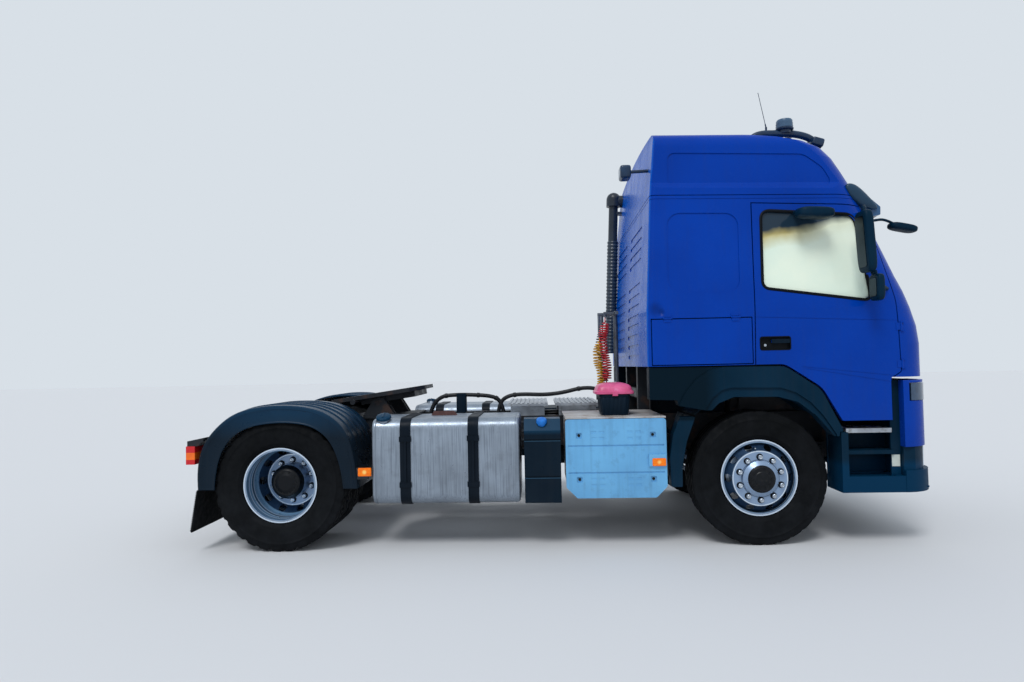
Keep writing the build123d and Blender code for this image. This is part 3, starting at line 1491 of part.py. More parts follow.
def intake_stack():
    """Air intake on the rear wall: ribbed lower pipe, plain pipe and a hooded head."""
    pipe = rod_z(stack_x, stack_y, 50, 2350, 3200)
    z = stack_foot
    while z < 2350:
        pipe += rod_z(stack_x, stack_y, 54, z, z + 26)
        pipe += rod_z(stack_x, stack_y, 46, z + 26, z + 50)
        z += 50
    head = rod_z(stack_x, stack_y, 78, 3190, 3270)
    head += Pos(stack_x, stack_y, 3270) * Sphere(78)
    head += rod_x(stack_y, 3252, 66, stack_x, cab_rear + 200)
    for z in (1700, 2400, 3100):
        head += block(stack_x, cab_rear + 150, stack_y - 40, stack_y + 40, z, z + 30)
    foot = (stack_x, 0, stack_foot)
    leaning = Pos(*foot) * Rot(0, stack_lean, 0) * Pos(-stack_x, 0, -stack_foot) * (pipe + head)
    return leaning - cab_form(-seat_gap)


def roof_bar():
    """Tube hoops on the roof with a beacon, a whip aerial and front lamps."""
    tubes = None
    for side in (1, -1):
        y = side * 600
        path = FilletPolyline(*[(front_axle + x, y, z) for x, z in (
            (150, 3290), (240, 3432), (560, 3436), (715, 3385), (770, 3205))], radius=60)
        start = Plane(origin=path @ 0, z_dir=path % 0)
        tube = sweep(start * Circle(24), path=path)
        tubes = tube if tubes is None else tubes + tube
    tubes += rod_y(front_axle + 560, 3434, 22, -600, 600)
    tubes += rod_y(front_axle + 262, 3432, 22, -600, 600)
    tubes -= cab_form(-seat_gap)
    beacon = rod_z(front_axle + 489, -600, 46, 3440, 3475)
    beacon += rod_z(front_axle + 489, -600, 72, 3470, 3566)
    aerial = rod_z(front_axle + 330, -600, 9, 3440, 3500)
    lean = Pos(front_axle + 330, -600, 3495) * Rot(0, -11, 0)
    aerial += lean * Pos(0, 0, 160) * Cylinder(4, 320)
    lamps = []
    for side in (1, -1):
        y = side * 600
        lamps.append(block(front_axle + 690, front_axle + 800, y - 85, y + 85, 3300, 3372))
    whole = tubes + beacon + aerial
    for lamp in lamps:
        whole += lamp
    rear = block(cab_rear - 150, cab_rear - 60, -1020, -860, 2985, 3105)
    rear += block(cab_rear - 65, cab_rear + 200, -960, -930, 3030, 3060)
    return whole, rear - cab_form(-seat_gap)


def mirrors(side):
    """Main and wide-angle housings on their arms, and the kerb mirror on the right."""
    housing = block(front_axle + 735, front_axle + 807, 1312, 1505, 2092, 2556)
    housing = fillet(housing.edges(), 33)
    housing = Pos(front_axle + 772, 0, 2092) * Rot(0, -3, 0) * Pos(-front_axle - 772, 0, -2092) * housing
    lower = block(front_axle + 810, front_axle + 868, 1312, 1470, 1880, 2080)
    lower = fillet(lower.edges(), 27)
    arm = FilletPolyline((front_axle + 1000, 1215, 1985), (front_axle + 940, 1290, 1985),
                         (front_axle + 850, 1345, 2060), (front_axle + 820, 1350, 2130), radius=20)
    low_arm = sweep(Plane(origin=arm @ 0, z_dir=arm % 0) * Circle(17), path=arm)
    arm = FilletPolyline((front_axle + 880, 1130, 2610), (front_axle + 840, 1230, 2622),
                         (front_axle + 768, 1380, 2600), (front_axle + 764, 1390, 2520), radius=20)
    top_arm = sweep(Plane(origin=arm @ 0, z_dir=arm % 0) * Circle(15), path=arm)
    whole = housing + lower + low_arm + top_arm
    whole += rod_z(front_axle + 842, 1370, 16, 1960, 2110)
    if side < 0:
        kerb = block(front_axle + 290, front_axle + 565, 1235, 1400, 2530, 2612)
        kerb = fillet(kerb.edges(), 34)
        kerb += block(front_axle + 320, front_axle + 470, 1140, 1290, 2590, 2626)
        whole = [whole, kerb]
        parts = [mirror(piece, about=Plane.XZ) for piece in whole]
    else:
        parts = [whole]
    return [piece - cab_form(-seat_gap) for piece in parts]


def front_mirror():
    """Small mirror ahead of the windscreen's kerb side corner."""
    head = Pos(front_axle + 1275, -960, 2508) * Rot(0, 12, 0) * Box(220, 130, 62)
    head = fillet(head.edges(), 26)
    arm = FilletPolyline((front_axle + 860, -1060, 2530), (front_axle + 1010, -1030, 2560),
                         (front_axle + 1140, -975, 2580), (front_axle + 1240, -960, 2520),
                         radius=24)
    arm = sweep(Plane(origin=arm @ 0, z_dir=arm % 0) * Circle(11), path=arm)
    return head + (arm - cab_form(-seat_gap))


def seats():
    """Two seats on pedestals, and the bunk across the back."""
    pieces = []
    for side in (1, -1):
        y = side * 600
        base = block(front_axle - 60, front_axle + 340, y - 200, y + 200, sill_z + 40, 1690)
        cushion = block(front_axle - 120, front_axle + 420, y - 260, y + 260, 1690.3, 1830)
        back = block(front_axle - 180, front_axle - 60, y - 250, y + 250, 1830.3, 2420)
        head = block(front_axle - 175, front_axle - 85, y - 140, y + 140, 2430, 2620)
        head += block(front_axle - 140, front_axle - 120, y - 60, y - 40, 2420, 2440)
        head += block(front_axle - 140, front_axle - 120, y + 40, y + 60, 2420, 2440)
        pieces += [base, cushion, back, head]
    base = block(cab_rear + 60, front_axle - 240, -1150, 1150, sill_z + 40, belt_z)
    for side in (1, -1):
        base -= block(cab_rear + 78, front_axle - 258, *sorted((side * 300, side * 1151)),
                      sill_z + 52, belt_z - 18)
    pieces.append(base)
    pieces.append(block(cab_rear + 60, front_axle - 240, -1150, 1150, belt_z + seat_gap, 1900))
    return pieces


wheel_centre = (front_axle + 640, 600, 2010)
wheel_lean = 32
shaft_radius = 22


def steering_wheel():
    """Rim, three spokes and hub of the steering wheel on its column."""
    ring = Torus(218, 15)
    ring += Cylinder(58, 40)
    for turn in (90, 210, 330):
        ring += Rot(0, 0, turn) * Pos(115, 0, 0) * Box(200, 34, 14)
    ring += Pos(0, 0, -90) * Cylinder(shaft_radius, 180)
    return Pos(*wheel_centre) * Rot(0, -wheel_lean, 0) * ring


def dashboard():
    """Dashboard across the cab with the driver's binnacle and the steering column."""
    board = block(front_axle + 860, cab_front - 160 - seat_gap, -1110, 1110,
                  floor_z + 40 + seat_gap, 1760)
    board += block(front_axle + 900, front_axle + 1180, 380, 820, 1755, 1860)
    board = board & cab_form(cab_wall + 1)
    column = Pos(0, 0, -290) * Cylinder(40, 340)
    column -= Pos(0, 0, -160) * Cylinder(shaft_radius + running_gap, 100)
    column = Pos(*wheel_centre) * Rot(0, -wheel_lean, 0) * column
    return board + column


save("arch_trims", both(arch_trim()))
save("sun_visor", sun_visor())
save("intake_stack", intake_stack())
save("roof_bar", *roof_bar())
save("front_mirror", front_mirror())
save("mirrors_left", mirrors(1))
save("mirrors_right", mirrors(-1))
save("seats", seats())
save("steering_wheel", steering_wheel())
save("dashboard", dashboard())
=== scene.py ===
import bmesh
import bpy
import json
import math
from mathutils import Matrix, Vector
from mathutils.bvhtree import BVHTree


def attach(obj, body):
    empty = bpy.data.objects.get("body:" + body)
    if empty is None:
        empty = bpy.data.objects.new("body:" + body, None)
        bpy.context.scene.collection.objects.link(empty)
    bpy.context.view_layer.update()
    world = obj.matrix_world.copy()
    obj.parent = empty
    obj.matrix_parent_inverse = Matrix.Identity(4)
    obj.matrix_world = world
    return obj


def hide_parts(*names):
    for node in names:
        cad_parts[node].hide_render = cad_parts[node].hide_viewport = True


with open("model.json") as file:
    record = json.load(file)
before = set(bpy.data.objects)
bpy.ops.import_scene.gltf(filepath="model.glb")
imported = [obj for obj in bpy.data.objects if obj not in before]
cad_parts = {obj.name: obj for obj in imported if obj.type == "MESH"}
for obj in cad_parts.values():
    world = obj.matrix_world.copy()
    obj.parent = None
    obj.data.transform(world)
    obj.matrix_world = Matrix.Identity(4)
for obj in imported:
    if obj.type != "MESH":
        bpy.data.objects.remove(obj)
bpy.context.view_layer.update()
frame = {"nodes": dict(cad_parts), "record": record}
nodes = frame["nodes"]
image_width, image_height = 1024, 682

# Places in metres: x forward, y left, z up from the ground
front_axle = 1.58
rear_axle = -2.22
wheel_z = 0.525
tyre_radius = 0.525
body_half = 1.245
cab_rear = 0.72
both_sides = (("left", 1), ("right", -1))

# Camera: metres, radians and pixels of the picture
camera_place = (-0.13007, -6.44409, 1.44534)
camera_yaw = 0.0406683
camera_pitch = 0.0294621
camera_roll = 0.0198803
focal_pixels = 659.81
centre_row = 346.197


def add_camera():
    """Camera at the photograph's place and angle."""
    turn = (Matrix.Rotation(camera_yaw, 3, "Z") @ Matrix.Rotation(camera_pitch, 3, "X")
            @ Matrix.Rotation(camera_roll, 3, "Y"))
    right, forward, up = (turn @ Vector(axis) for axis in ((1, 0, 0), (0, 1, 0), (0, 0, 1)))
    data = bpy.data.cameras.new("camera")
    data.sensor_width = 36
    data.lens = focal_pixels / image_width * data.sensor_width
    data.shift_y = (centre_row - image_height / 2) / image_width
    camera = bpy.data.objects.new("camera", data)
    place = Matrix((right, up, -forward)).transposed().to_4x4()
    place.translation = Vector(camera_place)
    camera.matrix_world = place
    bpy.context.scene.collection.objects.link(camera)
    bpy.context.scene.camera = camera


add_camera()

# Materials: object-space noise stays on the moving piece. Colours are written as 0 to 255.
finishes = {}
slot_of = {}
dirt = (44, 47, 52)


def linear(red, green, blue):
    """Linear colour from one written as 0 to 255."""
    def step(value):
        value /= 255
        return value / 12.92 if value <= 0.04045 else ((value + 0.055) / 1.055) ** 2.4
    return step(red), step(green), step(blue)


def put(tree, socket, value):
    """Give an input a number, or link it to another node's output."""
    if isinstance(value, bpy.types.NodeSocket):
        tree.links.new(value, socket)
    else:
        socket.default_value = value


def feed(tree, node, **values):
    """Give some of a node's inputs, _ standing for the space in an input's name."""
    for name, value in values.items():
        put(tree, node.inputs[name.replace("_", " ")], value)
    return node


def make_node(tree, kind, **values):
    """Shader node with some inputs given."""
    return feed(tree, tree.nodes.new("ShaderNode" + kind), **values)


def noise(tree, scale, detail, stretch=(1, 1, 1)):
    """Noise over the object, which may be stretched along its axes."""
    place = make_node(tree, "TexCoord").outputs["Object"]
    mapping = make_node(tree, "Mapping", Scale=stretch, Vector=place)
    return make_node(tree, "TexNoise", Scale=scale, Detail=detail, Roughness=0.55,
                     Vector=mapping.outputs["Vector"]).outputs["Fac"]


def spread(tree, value, low, high, to_low=0.0, to_high=1.0):
    """The value's band from low to high, stretched and held between two numbers."""
    return make_node(tree, "MapRange", Value=value, From_Min=low, From_Max=high, To_Min=to_low,
                     To_Max=to_high).outputs["Result"]


def maths(tree, operation, first, second):
    """Arithmetic on two values, of which the second may be a number."""
    node = make_node(tree, "Math")
    node.operation = operation
    put(tree, node.inputs[0], first)
    put(tree, node.inputs[1], second)
    return node.outputs["Value"]


def blended(tree, share, first, second):
    """Colour between two, each a node's output or a colour."""
    node = make_node(tree, "Mix")
    node.data_type = "RGBA"
    put(tree, node.inputs[0], share)
    for socket, colour in ((node.inputs[6], first), (node.inputs[7], second)):
        put(tree, socket, (*linear(*colour), 1) if isinstance(colour, tuple) else colour)
    return node.outputs[2]


def place_axes(tree):
    """The three object-space coordinates by their letters."""
    place = make_node(tree, "TexCoord").outputs["Object"]
    parts = make_node(tree, "SeparateXYZ", Vector=place)
    return {letter: parts.outputs[letter.upper()] for letter in "xyz"}


def finish(name, slot, colour, worn, roughness, metallic=0.0, coat=0.0, patches=2.2, grain=180.0,
           grain_depth=0.0002, streaks=0.0, dust=0.0, dust_top=1.1, level=0.5, spots=None,
           lines=None):
    """Surface with patches of wear, fine grain, dirt streaks and dust that settles low down.
    Spots and lines are each a share, a colour and a size."""
    material = bpy.data.materials.new(name)
    material.use_nodes = True
    finishes[name] = material
    slot_of[name] = slot
    tree = material.node_tree
    shader = tree.nodes["Principled BSDF"]
    feed(tree, shader, Metallic=metallic, Coat_Weight=coat, Coat_Roughness=0.08, Specular_IOR_Level=level)
    shade = blended(tree, spread(tree, noise(tree, patches, 6.0), 0.35, 0.72), colour, worn)
    if streaks:
        run = spread(tree, noise(tree, 9.0, 5.0, (3.2, 3.2, 0.16)), 0.5, 0.72, 0.0, streaks)
        shade = blended(tree, run, shade, dirt)
    if dust:
        low = spread(tree, place_axes(tree)["z"], dust_top, 0.25, 0.0, dust)
        low = maths(tree, "MULTIPLY", low, spread(tree, noise(tree, 7.0, 7.0), 0.35, 0.62, 0.25, 1.0))
        shade = blended(tree, low, shade, dirt)
    if spots:
        share, tone, size = spots
        shade = blended(tree, spread(tree, noise(tree, size, 8.0), 0.56, 0.68, 0.0, share), shade, tone)
    if lines:
        share, tone, size = lines
        run = spread(tree, noise(tree, size, 3.0, (1, 1, 0.02)), 0.47, 0.66, 0.0, share)
        shade = blended(tree, run, shade, tone)
    rough = spread(tree, noise(tree, patches * 5, 6.0), 0.3, 0.75, roughness * 0.75,
                   min(1.0, roughness * 1.35))
    bump = make_node(tree, "Bump", Strength=0.6, Distance=grain_depth, Height=noise(tree, grain, 3.0))
    feed(tree, shader, Base_Color=shade, Roughness=rough, Normal=bump.outputs["Normal"])


def graph(name):
    """A finish's nodes and its shader."""
    tree = finishes[name].node_tree
    return tree, tree.nodes["Principled BSDF"]


def measured(tree, place, of):
    """A coordinate by its letter, the distance to (letter, its value, height), or a function's value."""
    if callable(of):
        return of(tree, place)
    if isinstance(of, str):
        return place[of]
    letter, middle, height = of
    legs = [maths(tree, "POWER", maths(tree, "SUBTRACT", value, centre), 2.0)
            for value, centre in ((measured(tree, place, letter), middle), (place["z"], height))]
    return maths(tree, "POWER", maths(tree, "ADD", *legs), 0.5)


def wide(tree, place):
    """Distance from the middle plane."""
    return maths(tree, "ABSOLUTE", place["y"], 0.0)


def facing(tree, place):
    """How far the surface looks forward."""
    normal = make_node(tree, "TexCoord").outputs["Normal"]
    return make_node(tree, "SeparateXYZ", Vector=normal).outputs["X"]


def glass_height(tree, place):
    """Height on the glass, measured along the sloping edge of its shaded band."""
    slope = maths(tree, "MULTIPLY", maths(tree, "SUBTRACT", place["x"], front_axle + 0.07), 0.17)
    uneven = spread(tree, noise(tree, 3.5, 3.0), 0.3, 0.7, -0.03, 0.03)
    return maths(tree, "ADD", maths(tree, "SUBTRACT", place["z"], slope), uneven)


def ramp(of, low, high, to_low=0.0, to_high=1.0):
    """Share that runs from one number to another between two measures."""
    return lambda tree, place: spread(tree, measured(tree, place, of), low, high, to_low, to_high)


def band(of, low, high, soft=0.0008):
    """Share of 1 between two measures and 0 outside them."""
    def share(tree, place):
        value = measured(tree, place, of)
        return maths(tree, "MULTIPLY", spread(tree, value, low - soft, low),
                     spread(tree, value, high, high + soft, 1.0, 0.0))
    return share


def recolour(name, colour, *shares):
    """Another colour on a finish, wherever all the shares say so."""
    tree, shader = graph(name)
    before = shader.inputs["Base Color"].links[0].from_socket
    place = place_axes(tree)
    total, *others = [share(tree, place) for share in shares]
    for other in others:
        total = maths(tree, "MULTIPLY", total, other)
    feed(tree, shader, Base_Color=blended(tree, total, before, colour))


def add_dent(name, place, reach, depth):
    """Shallow round dent pressed into one place of a finish."""
    tree, shader = graph(name)
    before = shader.inputs["Normal"].links[0].from_socket
    away = make_node(tree, "VectorMath")
    away.operation = "DISTANCE"
    put(tree, away.inputs[0], make_node(tree, "TexCoord").outputs["Object"])
    put(tree, away.inputs[1], place)
    hollow = make_node(tree, "MapRange", From_Max=reach, Value=away.outputs["Value"])
    hollow.interpolation_type = "SMOOTHSTEP"
    bump = make_node(tree, "Bump", Strength=1.0, Distance=depth, Height=hollow.outputs["Result"],
                     Normal=before)
    feed(tree, shader, Normal=bump.outputs["Normal"])


def glass_finish(name, tint, streak, clear, gloss=0.5):
    """Tinted safety glass with a little dirt on it."""
    finish(name, "side_glass", tint, streak, 0.06, coat=gloss, grain_depth=0.00002, level=gloss)
    feed(*graph(name), Transmission_Weight=clear, IOR=1.45)


def rim_finish(name, axle_x, hub_reach, steps):
    """Painted rim: dark hub, pale bolt ring, painted shade on the disc slope round the hand holes, painted
    highlights on ring edges, and painted highlight and shade on the steps of the well.
    """
    finish(name, "rim_silver", (150, 166, 186), (112, 128, 150), 0.34, metallic=0.6, patches=9,
           streaks=0.08, spots=(0.35, (70, 72, 78), 26.0))
    round_axle = ("x", axle_x, wheel_z)
    # Bands round the axle, among them painted shade on the disc slope and painted highlights on the bolt
    # ring's edge and near the outer edge
    for low, high, soft, tone in (
            (0.219, 0.263, 0.004, (42, 68, 98)), (0.268, 0.277, 0.002, (104, 138, 170)),
            (hub_reach, 0.2155, 0.002, (138, 160, 188)), (0.2075, 0.2135, 0.001, (216, 228, 240)),
            (0.145, 0.1475, 0.001, (60, 70, 84)), (0.0, hub_reach, 0.002, (8, 12, 18)),
            (0.29, 0.31, 0.002, (206, 220, 236))):
        recolour(name, tone, band(round_axle, low, high, soft))
    # Steps of the well across the rim: painted highlight and painted shade
    for low, high, tone in steps:
        recolour(name, tone, band(wide, low, high, 0.002), ramp(round_axle, 0.262, 0.265))


finish("paint_blue", "body_blue", (0, 58, 160), (0, 50, 144), 0.26, coat=0.07, grain=35, grain_depth=0.0001,
       streaks=0.07, dust=0.16, dust_top=1.5, level=0.05, patches=1.1)
finish("trim_grey", "trim_grey", (2, 32, 50), (8, 40, 60), 0.42, grain=420, streaks=0.12, dust=0.1,
       level=0.06)
finish("trim_dark", "black_plastic", (2, 19, 32), (8, 27, 42), 0.45, grain=420, streaks=0.1, dust=0.16,
       level=0.09)
finish("guard_black", "black_plastic", (5, 20, 32), (10, 28, 42), 0.3, grain=420, streaks=0.1, dust=0.04,
       level=0.13)
finish("fluid_plastic", "black_plastic", (2, 20, 34), (8, 28, 42), 0.34, grain=300, streaks=0.1, dust=0.1,
       level=0.1)
finish("rubber", "flap_rubber", (6, 8, 10), (15, 17, 20), 0.7, grain=300, dust=0.22, dust_top=0.9,
       level=0.08, patches=5)
finish("seal_black", "black_plastic", (5, 8, 12), (12, 16, 21), 0.5, grain=300, level=0.1)
finish("frame_paint", "frame_black", (18, 24, 32), (40, 42, 46), 0.5, grain=200, streaks=0.2, dust=0.3,
       dust_top=1.3, level=0.25, spots=(0.5, (78, 54, 42), 9.0))
finish("cast_iron", "cast_grey", (44, 46, 52), (66, 66, 68), 0.62, metallic=0.3, grain=120,
       grain_depth=0.0008, dust=0.4, dust_top=1.2, spots=(0.6, (88, 60, 44), 7.0))
finish("tank_metal", "tank_metal", (150, 162, 176), (128, 138, 150), 0.36, metallic=0.55, streaks=0.1,
       dust=0.22, dust_top=0.62, patches=4, spots=(0.22, (96, 100, 106), 12.0),
       lines=(0.4, (66, 74, 86), 150.0))
finish("strap_black", "strap_black", (4, 14, 24), (12, 24, 36), 0.45, grain=260, streaks=0.12, dust=0.12,
       level=0.09)
finish("deck_metal", "deck_metal", (176, 182, 190), (136, 140, 146), 0.38, metallic=0.7, patches=8,
       spots=(0.5, (96, 86, 76), 20.0))
finish("cover_silver", "cover_silver", (108, 176, 222), (94, 158, 206), 0.42, metallic=0.2, streaks=0.15,
       dust=0.18, dust_top=0.7, patches=3, spots=(0.22, (74, 112, 146), 18.0))
finish("deck_brown", "deck_brown", (186, 186, 188), (146, 136, 128), 0.42, metallic=0.15, patches=6,
       spots=(0.55, (116, 84, 64), 14.0), dust=0.1)
finish("stack_dark", "stack_grey", (40, 50, 62), (24, 32, 42), 0.32, streaks=0.2, patches=5, level=0.35)
finish("chrome", "rim_silver", (196, 204, 212), (150, 158, 170), 0.18, metallic=1.0, grain_depth=0.00005,
       spots=(0.35, (90, 88, 84), 30.0))
finish("hose_grey", "stack_grey", (46, 60, 74), (30, 42, 54), 0.26, patches=14, level=0.5)
finish("stand_metal", "bar_chrome", (104, 112, 122), (70, 76, 84), 0.42, metallic=0.6, patches=8,
       spots=(0.5, (84, 66, 54), 24.0))
finish("hub_black", "black_plastic", (5, 9, 14), (16, 19, 24), 0.34, patches=22,
       spots=(0.3, (52, 48, 46), 40.0), level=0.22)
finish("lens_clear", "lamp_clear", (46, 74, 102), (30, 54, 80), 0.12, metallic=0.3, coat=0.5, patches=26,
       grain=300, grain_depth=0.0003)
finish("plate_pale", "lamp_clear", (206, 214, 206), (184, 194, 190), 0.5, patches=9, dust=0.2, level=0.3)
finish("cap_blue", "black_plastic", (24, 116, 204), (16, 92, 172), 0.4, patches=30, level=0.3)
finish("plate_brown", "deck_brown", (96, 66, 62), (70, 48, 46), 0.5, patches=20, level=0.25)
finish("amber", "lamp_amber", (244, 112, 16), (222, 92, 12), 0.25, coat=0.4, patches=30, grain=400,
       grain_depth=0.0004, level=0.3)
finish("lid_red", "lid_red", (214, 92, 140), (178, 62, 102), 0.34, patches=9,
       spots=(0.5, (224, 150, 186), 22.0), grain=260, level=0.35)
finish("fabric", "cushion_fabric", (48, 54, 66), (72, 78, 92), 0.9, grain=900, grain_depth=0.0006, level=0.2)
finish("line_red", "line_red", (196, 22, 34), (150, 12, 26), 0.35, patches=20)
finish("line_yellow", "line_yellow", (214, 160, 20), (172, 122, 16), 0.35, patches=20)
finish("line_black", "line_black", (14, 16, 20), (32, 34, 38), 0.4, patches=20, level=0.25)
finish("glass_lens", "lamp_amber", (255, 132, 0), (238, 104, 0), 0.16, coat=0.3, patches=60, grain=500,
       grain_depth=0.0006, level=0.2)
finish("visor_smoke", "visor_smoke", (46, 84, 122), (34, 68, 102), 0.22, coat=0.35, streaks=0.08, level=0.25)
finish("shield_dark", "visor_smoke", (30, 62, 86), (20, 48, 70), 0.34, coat=0.12, level=0.2)
finish("bar_dark", "bar_chrome", (20, 50, 80), (12, 34, 58), 0.3, coat=0.2, patches=12, level=0.3)
finish("mirror_pane", "trim_grey", (22, 42, 60), (18, 38, 56), 0.05, metallic=1.0, grain_depth=0.00001)

# Dents in the rear corner, each with painted shade darkening its hollow
for dent_x, dent_z, reach, depth in ((-0.79, 1.858, 0.085, 0.016), (-0.745, 1.838, 0.045, 0.008)):
    add_dent("paint_blue", (front_axle + dent_x, -body_half, dent_z), reach, depth)
    # Painted shade: darker blob inside the dent
    recolour("paint_blue", (0, 30, 92),
             ramp(("x", front_axle + dent_x, dent_z), 0.2 * reach, 0.75 * reach, 0.5, 0.0),
             ramp("y", -1.21, -1.2, 1.0, 0.0))
# Painted light: surfaces facing rearward are painted a brighter blue, standing in for the rear wall lit by
# the paler sky
recolour("paint_blue", (0, 84, 184), ramp(facing, -0.9, -0.7, 1.0, 0.0),
         ramp("x", cab_rear + 0.5, cab_rear + 0.52, 1.0, 0.0))

# Painted light and shade on trim and plastics: lighter steps and bumper, painted shade on the flare edge
# behind the front arch, painted highlights on the mudguard tops and on the fluid tank's top and ridges
# Painted light: steps and bumper lighter where light falls on them
recolour("trim_grey", (3, 46, 74), ramp("x", front_axle + 0.5, front_axle + 0.56),
         band("z", 0.3, 0.62, 0.05))
# Painted shade: flare edge and trim panel behind the front arch darker
recolour("trim_grey", (2, 22, 34), ramp("x", front_axle - 0.42, front_axle - 0.3, 1.0, 0.0),
         band("z", 1.0, 1.45, 0.02))
# Painted highlight: mudguard tops lighter towards the top
recolour("guard_black", (14, 50, 76), ramp("z", 0.9, 1.1, 0.0, 0.8))
# Painted highlight: the fluid tank's top lighter
recolour("fluid_plastic", (14, 54, 80), ramp("z", 0.895, 0.935, 0.0, 0.9))
# Painted highlight lines under the fluid tank's ridges
for ridge in (0.846, 0.556):
    recolour("fluid_plastic", (40, 70, 92), band("z", ridge, ridge + 0.004, 0.001))

# Tail lamps, lower front lamps, brackets of the side markers, headlamp reflectors
tail_x = rear_axle - 0.68
for low, high in ((0.7, 0.74), (0.797, 0.9)):
    recolour("amber", (196, 16, 26), band("z", low, high), ramp("x", tail_x, tail_x + 0.01, 1.0, 0.0))
recolour("amber", (206, 218, 228), ramp("x", front_axle + 0.5, front_axle + 0.51))
for low, high, tone in ((front_axle - 0.88, front_axle - 0.73, (102, 168, 214)),
                        (front_axle - 1.15, front_axle - 1.0, (8, 18, 28)),
                        (rear_axle + 0.6, rear_axle + 0.73, (8, 18, 28))):
    recolour("amber", tone, band("x", low, high))
for middle in (0.955, 1.085):
    for near, far, tone in ((0.0, 0.056, (22, 30, 40)), (0.0, 0.049, (206, 220, 234)),
                            (0.026, 0.03, (96, 112, 130)), (0.0, 0.011, (250, 244, 220))):
        recolour("lens_clear", tone, band((wide, middle, 1.184), near, far, 0.0006))

# Beacon, front lamps and work lamp of the roof bar
recolour("bar_dark", (64, 92, 118), ramp("z", 3.484, 3.486),
         ramp("x", front_axle + 0.41, front_axle + 0.412))
recolour("bar_dark", (142, 150, 158), ramp("x", front_axle + 0.797, front_axle + 0.798),
         ramp("z", 3.302, 3.303))
recolour("bar_dark", (150, 160, 170), ramp("x", cab_rear - 0.149, cab_rear - 0.148, 1.0, 0.0))

# The side glass is misted, with a painted gold glow of sunlight and a painted shade band towards its upper
# edge
glass_finish("side_glass", (240, 250, 230), (224, 242, 226), 0.08, 0.2)
recolour("side_glass", (196, 176, 96), ramp(glass_height, 2.3, 2.42, 0.0, 0.92),
         ramp("x", front_axle + 0.25, front_axle + 0.6, 1.0, 0.25))
recolour("side_glass", (8, 42, 64), ramp(glass_height, 2.4, 2.47, 0.0, 0.98))
glass_finish("screen_glass", (84, 108, 116), (104, 126, 132), 0.55)

# Painted highlight and painted shade for the edges and hollows of the rims' well steps
rim_highlight, shaded = (216, 230, 244), (40, 66, 92)
rim_finish("rim_front", front_axle, 0.106, [(1.1, 1.122, shaded), (1.126, 1.131, rim_highlight)])
rim_finish("rim_rear", rear_axle, 0.137, [
    (0.9, 1.07, (124, 164, 196)), (1.076, 1.084, rim_highlight), (1.088, 1.116, (52, 88, 118)),
    (1.12, 1.129, rim_highlight), (1.133, 1.16, (112, 156, 190)), (1.164, 1.172, rim_highlight)])

# Each CAD node takes its own finish, or the first that was made for its slot
finish_of = {slot: name for name, slot in reversed(slot_of.items())}
finish_of.update(tyre_rubber="rubber", rim_silver="rim_front")
finish_of_node = {"rims_rear_left": "rim_rear", "rims_rear_right": "rim_rear", "roof_bar": "bar_dark",
                  "windscreen": "screen_glass", "fluid_tank": "fluid_plastic"}
for part in frame["record"]["subparts"]:
    data = nodes[part["node"]].data
    data.materials.clear()
    data.materials.append(finishes[finish_of_node.get(part["node"], finish_of[part["material_slot"]])])


# Helpers for the pieces. A shape is its points and faces.
def link_piece(name, data, material, body="chassis", of=None):
    """Put a new piece in the scene on its body, in place of a CAD node where one is named."""
    data.materials.append(finishes[material])
    piece = bpy.data.objects.new(name, data)
    bpy.context.scene.collection.objects.link(piece)
    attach(piece, body)
    if of:
        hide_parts(of)
    return piece


def mesh_of(bm, name):
    """Mesh of a finished bmesh."""
    mesh = bpy.data.meshes.new(name)
    bm.to_mesh(mesh)
    bm.free()
    return mesh


def mesh_piece(name, shapes, material, body="chassis", of=None, smooth=True, sharp=None):
    """Piece from shapes, with sharp edges above an angle where one is given."""
    points, faces = joined(shapes)
    mesh = bpy.data.meshes.new(name)
    mesh.from_pydata([tuple(p) for p in points], [], faces)
    mesh.validate()
    bm = bmesh.new()
    bm.from_mesh(mesh)
    bmesh.ops.recalc_face_normals(bm, faces=bm.faces)
    bm.to_mesh(mesh)
    bm.free()
    for face in mesh.polygons:
        face.use_smooth = smooth
    if sharp:
        mesh.set_sharp_from_angle(angle=sharp)
    return link_piece(name, mesh, material, body, of)


def boxes_piece(name, boxes, material, bevel, body="chassis", of=None):
    """Several bevelled boxes in one mesh, each given by two corners."""
    bm = bmesh.new()
    for corner, opposite in boxes:
        made = bmesh.ops.create_cube(bm, size=1.0)
        size = [abs(h - l) for l, h in zip(corner, opposite)]
        middle = [(h + l) / 2 for l, h in zip(corner, opposite)]
        bmesh.ops.scale(bm, vec=size, verts=made["verts"])
        bmesh.ops.translate(bm, vec=middle, verts=made["verts"])
    bmesh.ops.bevel(bm, geom=bm.edges[:], offset=bevel, segments=2, affect="EDGES", clamp_overlap=True)
    return link_piece(name, mesh_of(bm, name), material, body, of)


def joined(shapes):
    """Several shapes as one."""
    points, faces = [], []
    for more, more_faces in shapes:
        first = len(points)
        points += more
        faces += [tuple(first + i for i in face) for face in more_faces]
    return points, faces


def ring_faces(rings, around, closed_rings=False):
    """Faces between rings of points that close on themselves."""
    faces = []
    for ring in range(rings if closed_rings else rings - 1):
        after = (ring + 1) % rings
        for place in range(around):
            step = (place + 1) % around
            faces.append((ring * around + place, ring * around + step,
                          after * around + step, after * around + place))
    return faces


def capped(points, around):
    """Shape through rings of points, closed at both ends."""
    count = len(points)
    return points, ring_faces(count // around, around) + [tuple(range(around)),
                                                          tuple(range(count - around, count))]


